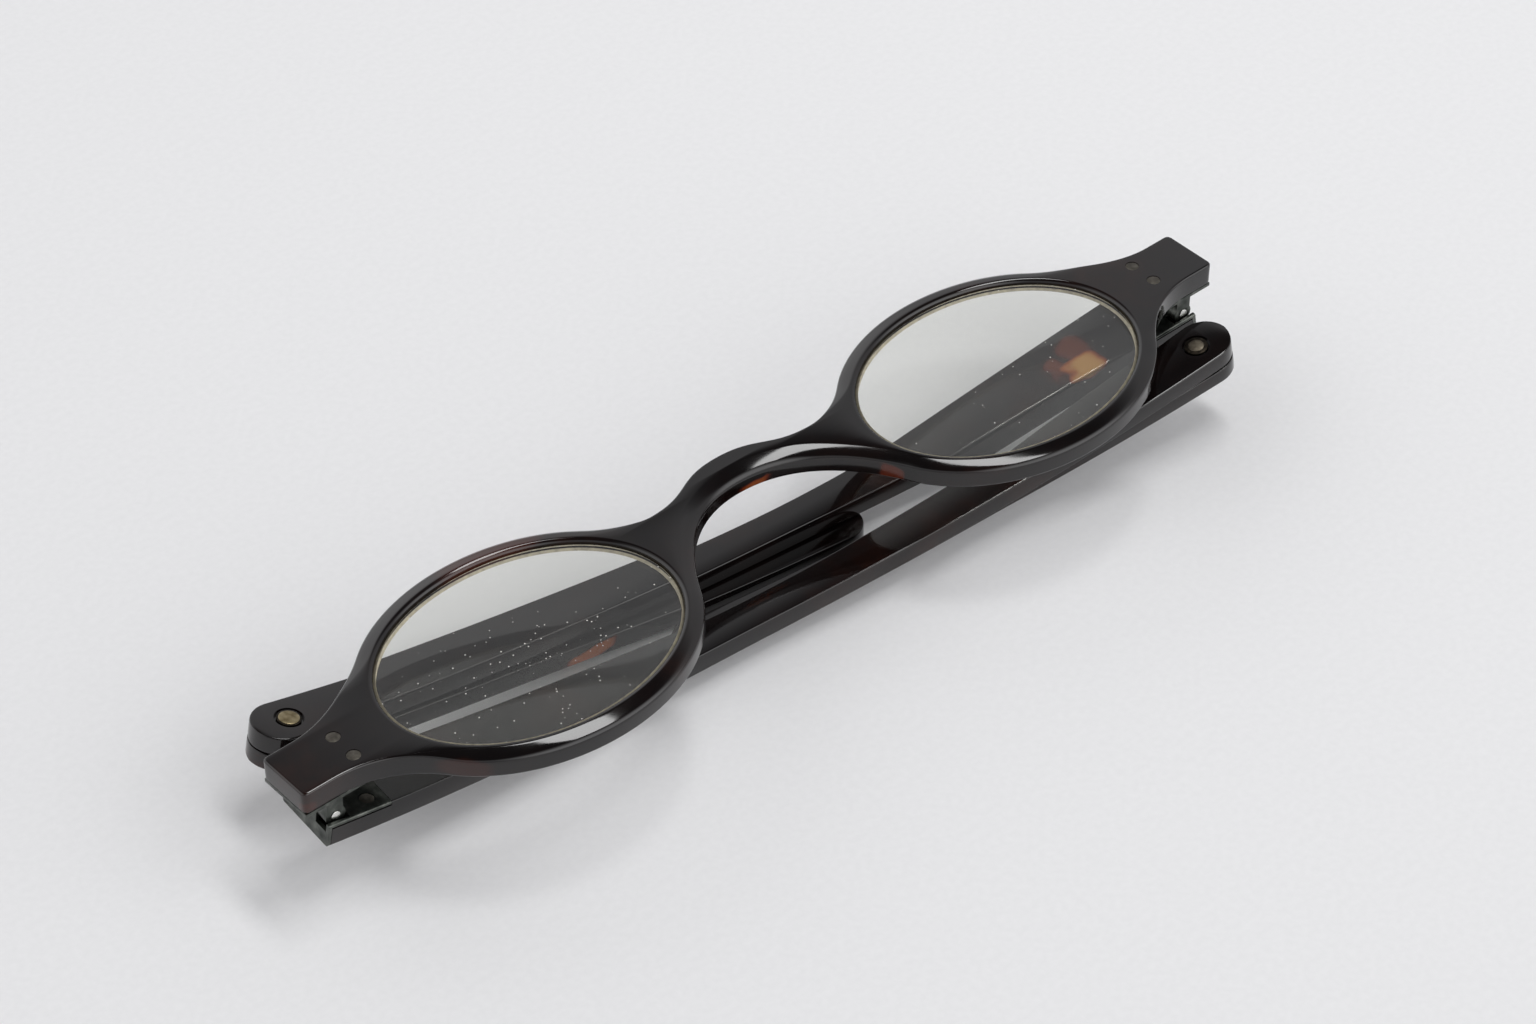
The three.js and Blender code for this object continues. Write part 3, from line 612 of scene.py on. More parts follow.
def loft(name: str, rings: Sequence[Ring], place: Matrix, finish: bpy.types.Material) -> bpy.types.Object:
    """A body through closed rings of points, with a fan over each end.

    Args:
        name: The piece's name.
        rings: Rings of equal count, in millimetres.
        place: Where it goes.
        finish: Its material.

    Returns:
        The piece.
    """
    count = len(rings[0])
    points = [point for ring in rings for point in ring]
    faces: list[Sequence[int]] = []
    for r in range(len(rings) - 1):
        faces.extend(band(r * count, (r + 1) * count, count))
    for ring, start in ((rings[0], 0), (rings[-1], (len(rings) - 1) * count)):
        points.append(sum(ring, Vector((0, 0, 0))) / count)
        faces.extend((len(points) - 1, start + i, start + (i + 1) % count) for i in range(count))
    return make_piece(name, points, faces, place, finish)


def lathe(name: str, profile: Profile, place: Matrix, finish: bpy.types.Material,
          steps: int = 48) -> bpy.types.Object:
    """A round body about Z.

    Args:
        name: The piece's name.
        profile: Radius and height of each ring, from bottom to top.
        place: Where it goes.
        finish: Its material.
        steps: Steps round the axis.

    Returns:
        The piece.
    """
    turns = [2 * math.pi * i / steps for i in range(steps)]
    rings = [[Vector((r * math.cos(t), r * math.sin(t), z)) for t in turns] for r, z in profile]
    return loft(name, rings, place, finish)


def dome_profile(radius: float, base: float, rise: float, steps: int = 8,
                 off_axis: float = 0.2) -> list[tuple[float, float]]:
    """The outline of a shallow dome, from beside its top to its rim.

    Args:
        radius: The rim's radius.
        base: The rim's height.
        rise: How far the top stands above it, or below it where negative.
        steps: Steps from top to rim.
        off_axis: Where the first point lies, as a share of a step away from the axis.

    Returns:
        Radius and height of each point.
    """
    turns = [(k + off_axis) / (steps + off_axis) * math.pi / 2 for k in range(steps + 1)]
    return [(radius * math.sin(turn), base + rise * math.cos(turn)) for turn in turns]


def drill(place: Matrix, radius: float, bottom: float, top: float,
          finish: bpy.types.Material) -> bpy.types.Object:
    """A plain round body along the placing's Z, mostly a cutting tool."""
    return lathe("drill", [(radius, bottom), (radius, top)], place, finish)


def prism(name: str, outline: Loop, bottom: float, top: float, place: Matrix,
          finish: bpy.types.Material) -> bpy.types.Object:
    """A flat outline raised along Z from one height to another.

    Args:
        name: The piece's name.
        outline: The outline, in millimetres.
        bottom: The lower height.
        top: The upper height.
        place: Where it goes.
        finish: Its material.

    Returns:
        The piece.
    """
    rings = [[Vector((point.x, point.y, z)) for point in outline] for z in (bottom, top)]
    points = rings[0] + rings[1]
    count = len(outline)
    faces = [*band(0, count, count), tuple(range(count)), tuple(range(count, 2 * count))]
    return make_piece(name, points, faces, place, finish)


def quadratic_point(start: Vector, control: Vector, end: Vector, t: float) -> Vector:
    """The point of a curve with one control point, at a share of its run."""
    return start * (1 - t) ** 2 + control * 2 * t * (1 - t) + end * t ** 2


def rounded_corner(corner: Vector, before: Vector, after: Vector, radius: float, steps: int = 5) -> Loop:
    """A corner of an outline, rounded.

    Args:
        corner: The sharp corner.
        before: The outline's point before it.
        after: The outline's point after it.
        radius: How far from the corner the round starts and ends.
        steps: Steps round it.

    Returns:
        Points from start to end of the round.
    """
    start = corner + (before - corner).normalized() * radius
    end = corner + (after - corner).normalized() * radius
    return [quadratic_point(start, corner, end, k / steps) for k in range(steps + 1)]


class Pen:
    """Draws a flat outline in millimetres from lines, curves and arcs."""

    fewest_steps: int = 6

    def __init__(self, start: Vector, step: float) -> None:
        """Starts the outline.

        Args:
            start: Its first point, which isn't kept.
            step: Length of one step along curves.
        """
        self.at = start
        self.step = step
        self.points: Loop = []

    def run(self, curve: Callable[[float], Vector], length: float) -> None:
        """Follows a curve from 0 to 1, in steps that suit its length.

        Args:
            curve: The point at a share of the curve's run.
            length: About how long it is.
        """
        count = max(self.fewest_steps, math.ceil(length / self.step))
        self.points.extend(curve(k / count) for k in range(1, count + 1))
        self.at = self.points[-1]

    def line(self, end: Vector) -> None:
        """Draws a straight line."""
        start = self.at
        self.run(lambda t: start.lerp(end, t), (end - start).length)

    def quadratic(self, control: Vector, end: Vector) -> None:
        """Draws a curve with one control point.

        Args:
            control: The control point.
            end: Where it ends.
        """
        start = self.at
        length = (control - start).length + (end - control).length
        self.run(lambda t: quadratic_point(start, control, end, t), length)

    def swing(self, end: Vector) -> None:
        """Draws an S curve that starts and ends level.

        Args:
            end: Where it ends.
        """
        start = self.at
        middle = (start.x + end.x) / 2
        first = Vector((middle, start.y))
        second = Vector((middle, end.y))
        self.run(lambda t: start * (1 - t) ** 3 + first * 3 * t * (1 - t) ** 2
                 + second * 3 * t ** 2 * (1 - t) + end * t ** 3, (end - start).length)

    def ellipse(self, centre: Vector, half: Vector, start: float, end: float) -> None:
        """Draws part of an ellipse between two angles."""
        self.run(lambda t: ellipse_point(centre, half, start + (end - start) * t),
                 abs(end - start) * (half.x + half.y) / 2)


def ellipse_point(centre: Vector, half: Vector, angle: float) -> Vector:
    """The point of an ellipse at an angle of its circle."""
    return Vector((centre.x + half.x * math.cos(angle), centre.y + half.y * math.sin(angle)))


def ellipse_loop(centre: Vector, half: Vector, steps: int) -> Loop:
    """A hole's outline, run so that the material lies on its left."""
    return [ellipse_point(centre, half, -2 * math.pi * i / steps) for i in range(steps)]


def loop_normals(loop: Loop) -> Loop:
    """Normals of a closed loop, away from the material on its left.

    Args:
        loop: The loop.

    Returns:
        One unit normal for each of its points.
    """
    count = len(loop)
    steps = [loop[(i + 1) % count] - loop[i - 1] for i in range(count)]
    return [Vector((step.y, -step.x)).normalized() for step in steps]


def cubic(controls: Profile, t: float) -> tuple[float, float]:
    """The point of a cubic curve at a share of its run.

    Args:
        controls: Its four control points.
        t: The share, from 0 to 1.

    Returns:
        The point.
    """
    weights = ((1 - t) ** 3, 3 * t * (1 - t) ** 2, 3 * t * t * (1 - t), t ** 3)
    first = sum(weight * control[0] for weight, control in zip(weights, controls))
    second = sum(weight * control[1] for weight, control in zip(weights, controls))
    return first, second


def smoothstep(value: float, low: float, high: float) -> float:
    """0 below low, 1 above high and an even S between them."""
    share = min(1.0, max(0.0, (value - low) / (high - low)))
    return share * share * (3 - 2 * share)


@dataclass
class FrontShell:
    """The front: both rims, the bridge and the end pieces, cut from one plate."""

    finishes: Finishes
    width: float = field(init=False)
    thickness: float = field(init=False)
    face: float = field(init=False)
    lens_x: float = field(init=False)
    eye: Vector = field(init=False)
    rim: Vector = field(init=False)
    end_centre: float = field(init=False)
    rim_width: float = 2.05
    lens_bevel: float = LENS_BEVEL_MM
    bridge_crest: float = 8.5
    bridge_bar: float = 3.75
    valley_height: float = 5.95
    valley_from_lens: float = 20.6
    bridge_offset: float = -0.35
    end_height: float = END_HEIGHT_MM
    end_corner: float = 0.7
    end_straight: float = 3.4
    leave_bridge_top: float = 40.0
    leave_bridge_arch: float = 22.0
    leave_end_top: float = 42.0
    leave_end_foot: float = 32.0
    flat_edge: Profile = ((0.26, 0.0), (0.12, 0.0), (0.0, -0.12), (0.0, -0.26))
    rim_edge: Profile = ((1.5, 0.0), (0.35, -0.3), (0.0, -0.42), (0.0, -0.95))
    arch_edge: Profile = ((1.9, 0.0), (0.5, -0.28), (0.0, -0.5), (0.0, -1.2))
    eye_edge: Profile = ((0.5, 0.0), (0.22, 0.0), (0.0, -0.2), (0.0, -0.45))
    back_edge: Profile = ((0.3, 0.0), (0.13, 0.0), (0.0, -0.13), (0.0, -0.3))
    round_rim_share: float = 0.72
    flat_share: float = 1.02
    arch_starts: float = 11.0
    arch_full: float = 6.0
    groove_below: float = 1.2
    groove_depth: float = 0.65
    groove_half: float = 0.45
    rivet_hole_share: float = 1.05
    rivet_hole_steps: int = 40
    outline_step: float = 0.4
    eye_steps: int = 240
    edge_steps: int = 14
    sharp_deg: float = 50.0

    def __post_init__(self) -> None:
        """Takes the overall sizes from the solids."""
        low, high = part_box("front_frame")
        lens_low, lens_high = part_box("right_lens")
        self.width = (high.x - low.x) / MM
        self.thickness = (high.z - low.z) / MM
        self.face = high.z
        self.lens_x = (lens_low.x + lens_high.x) / 2 / MM
        self.eye = Vector(((lens_high.x - lens_low.x) / 2 / MM - self.lens_bevel,
                           (lens_high.y - lens_low.y) / 2 / MM - self.lens_bevel))
        self.rim = self.eye + Vector((self.rim_width, self.rim_width))
        self.end_centre = frame_joint("left_side_hinge").origin.y / MM

    def tangent(self, angle: float, height: float) -> tuple[Vector, Vector]:
        """Where the rim's tangent at an angle reaches a height.

        Args:
            angle: Angle on the right rim's ellipse.
            height: The height to reach.

        Returns:
            The touching point, and the point at that height.
        """
        touch = ellipse_point(Vector((self.lens_x, 0)), self.rim, angle)
        slope = -(self.rim.y * math.cos(angle)) / (self.rim.x * math.sin(angle))
        return touch, Vector((touch.x + (height - touch.y) / slope, height))

    def half_outline(self, bridge_x: float) -> Loop:
        """The right half's outline, from the bridge's crest round the rim to the bridge's underside.

        Args:
            bridge_x: Where the bridge's own middle lies.

        Returns:
            Points after the crest, the last one under it.
        """
        end_x = self.width / 2
        end_top = self.end_centre + self.end_height / 2
        end_foot = self.end_centre - self.end_height / 2
        arch_top = self.bridge_crest - self.bridge_bar
        to_bridge = math.pi - math.radians(self.leave_bridge_top)
        to_end = math.radians(self.leave_end_top)
        from_end = -math.radians(self.leave_end_foot)
        to_arch = -math.pi + math.radians(self.leave_bridge_arch)
        lens = Vector((self.lens_x, 0))
        bridge_touch, bridge_corner = self.tangent(to_bridge, self.valley_height)
        _, upper_corner = self.tangent(to_end, end_top)
        foot_touch, foot_corner = self.tangent(from_end, end_foot)
        _, arch_corner = self.tangent(to_arch, arch_top)

        pen = Pen(Vector((bridge_x, self.bridge_crest)), self.outline_step)
        pen.swing(Vector((bridge_x + self.lens_x - self.valley_from_lens, self.valley_height)))
        pen.quadratic(bridge_corner, bridge_touch)
        pen.ellipse(lens, self.rim, to_bridge, to_end)
        pen.quadratic(upper_corner, Vector((end_x - self.end_straight, end_top)))
        pen.line(Vector((end_x - self.end_corner, end_top)))
        pen.quadratic(Vector((end_x, end_top)), Vector((end_x, end_top - self.end_corner)))
        pen.line(Vector((end_x, end_foot + self.end_corner)))
        pen.quadratic(Vector((end_x, end_foot)), Vector((end_x - self.end_corner, end_foot)))
        pen.line(Vector((end_x - self.end_straight, end_foot)))
        pen.quadratic(foot_corner, foot_touch)
        pen.ellipse(lens, self.rim, from_end, to_arch)
        pen.quadratic(arch_corner, Vector((bridge_x, arch_top)))
        return pen.points

    def outline(self) -> Loop:
        """The whole outline, with the material on its left.

        Returns:
            Its points in order.
        """
        right = self.half_outline(self.bridge_offset)
        left = [Vector((-point.x, point.y)) for point in self.half_outline(-self.bridge_offset)]
        return [*left, *reversed(right[:-1]), Vector((self.bridge_offset, self.bridge_crest))]

    def edge_at(self, point: Vector) -> Profile:
        """How the upper edge is rounded at a point of the outline.

        Args:
            point: The outline's point.

        Returns:
            Four control points, as inset over the face and height from it.
        """
        from_middle = abs(point.x)
        bridge_height = (self.valley_height + self.bridge_crest - self.bridge_bar) / 2
        if from_middle < self.lens_x and point.y < bridge_height:
            other = self.arch_edge
            blend = smoothstep(-from_middle, -self.arch_starts, -self.arch_full)
        else:
            other = self.flat_edge
            share = abs(from_middle - self.lens_x) / self.rim.x
            blend = smoothstep(share, self.round_rim_share, self.flat_share)
        return [(a + (c - a) * blend, b + (d - b) * blend) for (a, b), (c, d) in zip(self.rim_edge, other)]

    def edge_levels(self, edge: Profile, between: Profile = ()) -> Profile:
        """Inset and height from the face to the back, over the rounded upper edge and the eased back edge.

        Args:
            edge: Control points of the upper edge.
            between: Levels between the two edges.

        Returns:
            The levels from top to bottom.
        """
        steps = [k / self.edge_steps for k in range(self.edge_steps + 1)]
        upper = [cubic(edge, t) for t in steps]
        back = [cubic(self.back_edge, t) for t in reversed(steps)]
        lower = [(inset, -self.thickness - z) for inset, z in back]
        return [*upper, *between, *lower]

    def build(self) -> bpy.types.Object:
        """Builds the plate with its eyes and rivet holes.

        Returns:
            The plate.
        """
        groove = [(0.0, self.groove_half - self.groove_below),
                  (self.groove_depth, -self.groove_below),
                  (0.0, -self.groove_half - self.groove_below)]
        loops: list[tuple[Loop, Callable[[Vector], Profile]]] = [
            (self.outline(), lambda point: self.edge_levels(self.edge_at(point)))]
        for side in Side:
            centre = Vector((side.sign * self.lens_x, 0))
            loops.append((ellipse_loop(centre, self.eye, self.eye_steps),
                          lambda _: self.edge_levels(self.eye_edge, groove)))
        for low, high in rivet_boxes():
            hole = Vector(((high.x - low.x) / 2 / MM,) * 2) * self.rivet_hole_share
            centre = Vector(((low.x + high.x) / 2 / MM, (low.y + high.y) / 2 / MM))
            loops.append((ellipse_loop(centre, hole, self.rivet_hole_steps),
                          lambda _: [(0.0, 0.0), (0.0, -self.thickness)]))
        points: list[Vector] = []
        faces: list[Sequence[int]] = []
        caps: Caps = ([], [])
        for loop, levels in loops:
            self.add_wall(loop, levels, points, faces, caps)
        for rings in caps:
            order = [index for ring in rings for index in ring]
            flat = [[points[index].xy.to_3d() for index in ring] for ring in rings]
            faces.extend([order[corner] for corner in corners] for corners in tessellate_polygon(flat))
        place = Matrix.Translation((0, 0, self.face)) @ Matrix.Scale(MM, 4)
        plate = make_piece("front_shell", points, faces, place, self.finishes.shell)
        return smooth(plate, self.sharp_deg)

    @staticmethod
    def add_wall(loop: Loop, levels: Callable[[Vector], Profile], points: list[Vector],
                 faces: list[Sequence[int]], caps: Caps) -> None:
        """Adds the wall along one loop to the plate.

        Args:
            loop: The loop.
            levels: Inset and height from top to bottom at a point of it.
            points: The plate's points so far.
            faces: The plate's faces so far.
            caps: The rings round the top face and round the bottom face.
        """
        normals = loop_normals(loop)
        columns = [levels(point) for point in loop]
        count = len(loop)
        starts = []
        for level in range(len(columns[0])):
            starts.append(len(points))
            for point, normal, column in zip(loop, normals, columns):
                inset, z = column[level]
                points.append(Vector((point.x - normal.x * inset, point.y - normal.y * inset, z)))
        for upper, lower in zip(starts, starts[1:]):
            faces.extend(band(upper, lower, count))
        caps[0].append(list(range(starts[0], starts[0] + count)))
        caps[1].append(list(range(starts[-1], starts[-1] + count)))

    def dress(self) -> None:
        """Builds the front and sets it on its body."""
        settle(self.build(), "front", Slot.SHELL, "front_frame")


@dataclass(frozen=True)
class Axis:
    """A joint's place and direction at rest."""

    origin: Vector
    direction: Vector
    limit_deg: float


def frame_joint(name: str) -> Axis:
    """Reads a joint from the frame."""
    joint = next(j for j in frame["joints"] if j["name"] == name)
    return Axis(Vector(joint["pos_m"]), Vector(joint["axis"]).normalized(), joint["range_deg"][1])


def rivet_nodes(side: Side, kind: str) -> tuple[str, str]:
    """The names of one pair of rivets."""
    return side.named(f"{kind}_rivet_upper"), side.named(f"{kind}_rivet_lower")


def rivet_boxes() -> list[tuple[Vector, Vector]]:
    """The boxes of the rivets through the end pieces."""
    return [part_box(node) for side in Side for node in rivet_nodes(side, "end")]


def geometry_tree(name: str, inputs: Sequence[tuple[str, str]], takes_mesh: bool
                  ) -> tuple[bpy.types.NodeTree, bpy.types.Node, bpy.types.Node]:
    """Starts a geometry tree with named inputs.

    Args:
        name: The tree's name.
        inputs: Name and socket type of each input.
        takes_mesh: Whether it starts from the object's own mesh.

    Returns:
        The tree, its input node and its output node.
    """
    tree = bpy.data.node_groups.new(name, "GeometryNodeTree")
    tree.is_modifier = True
    if takes_mesh:
        tree.interface.new_socket("Geometry", in_out="INPUT", socket_type="NodeSocketGeometry")
    for label, kind in inputs:
        tree.interface.new_socket(label, in_out="INPUT", socket_type=kind)
    tree.interface.new_socket("Geometry", in_out="OUTPUT", socket_type="NodeSocketGeometry")
    return tree, tree.nodes.new("NodeGroupInput"), tree.nodes.new("NodeGroupOutput")


def grow(name: str, tree: bpy.types.NodeTree, values: dict[str, object],
         seed_mesh: bpy.types.Mesh | None = None) -> bpy.types.Object:
    """Runs a geometry tree and keeps its result as a plain mesh.

    Args:
        name: The piece's name.
        tree: The tree.
        values: The value of each named input.
        seed_mesh: The mesh that the tree starts from, if any.

    Returns:
        The piece.
    """
    piece = bpy.data.objects.new(name, seed_mesh or bpy.data.meshes.new(name))
    bpy.context.scene.collection.objects.link(piece)
    step = piece.modifiers.new("grown", "NODES")
    step.node_group = tree
    for item in tree.interface.items_tree:
        if item.in_out == "INPUT" and item.name in values:
            step[item.identifier] = values[item.name]
    return bake(piece)


@dataclass
class Lenses:
    """The two glass ovals: crowned on both faces and ground to a bevel that sits in the rim's groove."""

    finishes: Finishes
    bevel: float = LENS_BEVEL_MM
    seat_clearance: float = 0.25
    edge_half: float = 0.8
    crown: float = 0.3
    back_depth: float = 0.15
    segments: int = 160
    rings: int = 72
    equator_half: float = 1e-4
    lens_sharp_deg: float = 8.0
    speck_radius: float = 0.045
    speck_sizes: tuple[float, float] = (0.35, 1.6)
    speck_flatness: float = 0.4
    speck_detail: int = 2
    speck_sharp_deg: float = 60.0
    faces_up_from: float = 0.9
    specks_per_cm2: dict[Side, float] = field(default_factory=lambda: {Side.LEFT: 34.0, Side.RIGHT: 9.0})
    seeds: dict[Side, int] = field(default_factory=lambda: {Side.LEFT: 11, Side.RIGHT: 4})

    def lens_tree(self) -> bpy.types.NodeTree:
        """An oval lens: a ball whose two halves are flattened to shallow crowns about a bevelled equator.

        Returns:
            The tree.
        """
        sizes = ("Half Width", "Half Height", "Bevel", "Edge", "Crown", "Back Depth")
        tree, given, out = geometry_tree("oval_lens", (
            *((size, "NodeSocketFloat") for size in sizes), ("Centre", "NodeSocketVector"),
            ("Glass", "NodeSocketMaterial"), ("Ground Edge", "NodeSocketMaterial")), takes_mesh=False)
        half_width, half_height, bevel, edge, crown, back_depth = (given.outputs[size] for size in sizes)
        ball = add_node(tree, "GeometryNodeMeshUVSphere", {
            "Segments": self.segments, "Rings": self.rings, "Radius": 1.0})
        place = add_node(tree, "GeometryNodeInputPosition")
        x, y, z = add_node(tree, "ShaderNodeSeparateXYZ", {0: place.outputs[0]}).outputs
        flat = add_node(tree, "ShaderNodeCombineXYZ", {"X": x, "Y": y})
        away = add_node(tree, "ShaderNodeVectorMath", {0: flat.outputs[0]}, operation="LENGTH")
        squared = add_node(tree, "ShaderNodeMath", {0: away.outputs["Value"], 1: 2.0}, operation="POWER")
        fall = add_node(tree, "ShaderNodeMath", {0: 1.0, 1: squared.outputs[0]}, operation="SUBTRACT")
        height = add_node(tree, "ShaderNodeMath", {
            0: fall.outputs[0], 1: crown, 2: edge}, operation="MULTIPLY_ADD")
        equator = add_node(tree, "ShaderNodeMath", {
            0: z, 1: 0.0, 2: self.equator_half}, operation="COMPARE")
        inside = add_node(tree, "ShaderNodeMath", {0: 1.0, 1: equator.outputs[0]}, operation="SUBTRACT")
        way = add_node(tree, "ShaderNodeMath", {0: z}, operation="SIGN")
        facing = add_node(tree, "ShaderNodeMath", {
            0: way.outputs[0], 1: inside.outputs[0]}, operation="MULTIPLY")
        level = add_node(tree, "ShaderNodeMath", {
            0: height.outputs[0], 1: facing.outputs[0]}, operation="MULTIPLY")
        behind = add_node(tree, "ShaderNodeMath", {0: facing.outputs[0], 1: 0.0}, operation="MINIMUM")
        deeper = add_node(tree, "ShaderNodeMath", {
            0: behind.outputs[0], 1: back_depth, 2: level.outputs[0]}, operation="MULTIPLY_ADD")
        reached = []
        for unit, half in ((x, half_width), (y, half_height)):
            reach = add_node(tree, "ShaderNodeMath", {
                0: equator.outputs[0], 1: bevel, 2: half}, operation="MULTIPLY_ADD")
            reached.append(add_node(tree, "ShaderNodeMath", {
                0: unit, 1: reach.outputs[0]}, operation="MULTIPLY").outputs[0])
        shape = add_node(tree, "ShaderNodeCombineXYZ", {
            "X": reached[0], "Y": reached[1], "Z": deeper.outputs[0]})
        shaped = add_node(tree, "GeometryNodeSetPosition", {
            "Geometry": ball.outputs["Mesh"], "Position": shape.outputs[0]})
        moved = add_node(tree, "GeometryNodeTransform", {
            "Geometry": shaped.outputs[0], "Translation": given.outputs["Centre"]})
        real = add_node(tree, "GeometryNodeRealizeInstances", {"Geometry": moved.outputs[0]})

        # Faces between the two crowns are the ground edge.
        centre = add_node(tree, "ShaderNodeSeparateXYZ", {0: given.outputs["Centre"]})
        risen = add_node(tree, "ShaderNodeMath", {0: z, 1: centre.outputs["Z"]}, operation="SUBTRACT")
        raised = add_node(tree, "ShaderNodeMath", {
            0: back_depth, 1: 0.5, 2: risen.outputs[0]}, operation="MULTIPLY_ADD")
        from_middle = add_node(tree, "ShaderNodeMath", {0: raised.outputs[0]}, operation="ABSOLUTE")
        half_edge = add_node(tree, "ShaderNodeMath", {
            0: back_depth, 1: 0.5, 2: edge}, operation="MULTIPLY_ADD")
        between = add_node(tree, "ShaderNodeMath", {
            0: from_middle.outputs[0], 1: half_edge.outputs[0]}, operation="LESS_THAN")
        glazed = add_node(tree, "GeometryNodeSetMaterial", {
            "Geometry": real.outputs[0], "Material": given.outputs["Glass"]})
        ground = add_node(tree, "GeometryNodeSetMaterial", {
            "Geometry": glazed.outputs[0], "Selection": between.outputs[0],
            "Material": given.outputs["Ground Edge"]})
        tree.links.new(ground.outputs[0], out.inputs["Geometry"])
        return tree

    def dust_tree(self) -> bpy.types.NodeTree:
        """Specks of dust that have settled on the upper face.

        Returns:
            The tree.
        """
        tree, given, out = geometry_tree("settled_specks", (
            ("Per Square Metre", "NodeSocketFloat"), ("Radius", "NodeSocketFloat"), ("Seed", "NodeSocketInt"),
            ("Dust", "NodeSocketMaterial")), takes_mesh=True)
        normal = add_node(tree, "GeometryNodeInputNormal")
        parts = add_node(tree, "ShaderNodeSeparateXYZ", {0: normal.outputs[0]})
        upward = add_node(tree, "ShaderNodeMath", {
            0: parts.outputs["Z"], 1: self.faces_up_from}, operation="GREATER_THAN")
        spots = add_node(tree, "GeometryNodeDistributePointsOnFaces", {
            "Mesh": given.outputs["Geometry"], "Selection": upward.outputs[0],
            "Density": given.outputs["Per Square Metre"], "Seed": given.outputs["Seed"]})
        speck = add_node(tree, "GeometryNodeMeshIcoSphere", {
            "Radius": given.outputs["Radius"], "Subdivisions": self.speck_detail})
        smallest, largest = self.speck_sizes
        size = add_node(tree, "FunctionNodeRandomValue", {
            2: smallest, 3: largest, "Seed": given.outputs["Seed"]}, data_type="FLOAT")
        spread = add_node(tree, "ShaderNodeCombineXYZ", {
            "X": size.outputs[1], "Y": size.outputs[1], "Z": self.speck_flatness})
        placed = add_node(tree, "GeometryNodeInstanceOnPoints", {
            "Points": spots.outputs["Points"], "Instance": speck.outputs["Mesh"], "Scale": spread.outputs[0]})
        real = add_node(tree, "GeometryNodeRealizeInstances", {"Geometry": placed.outputs[0]})
        dressed = add_node(tree, "GeometryNodeSetMaterial", {
            "Geometry": real.outputs[0], "Material": given.outputs["Dust"]})
        tree.links.new(dressed.outputs[0], out.inputs["Geometry"])
        return tree

    def dress(self) -> None:
        """Builds both lenses and their dust."""
        lens_tree = self.lens_tree()
        dust_tree = self.dust_tree()
        for side in Side:
            low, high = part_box(side.named("lens"))
            shy = (self.bevel + self.seat_clearance) * MM
            lens = grow(side.named("lens_glass"), lens_tree, {
                "Half Width": (high.x - low.x) / 2 - shy,
                "Half Height": (high.y - low.y) / 2 - shy,
                "Bevel": shy,
                "Edge": self.edge_half * MM,
                "Crown": self.crown * MM,
                "Back Depth": self.back_depth * MM,
                "Centre": (low + high) / 2,
                "Glass": self.finishes.glass,
                "Ground Edge": self.finishes.ground_edge})
            specks = grow(side.named("lens_dust"), dust_tree, {
                "Per Square Metre": self.specks_per_cm2[side] / SQUARE_CM,
                "Radius": self.speck_radius * MM,
                "Seed": self.seeds[side],
                "Dust": self.finishes.dust}, lens.data.copy())
            lens.visible_shadow = False
            lens.visible_diffuse = False
            settle(smooth(lens, self.lens_sharp_deg), "front", Slot.GLASS, side.named("lens"))
            settle(smooth(specks, self.speck_sharp_deg), "front", Slot.GLASS)


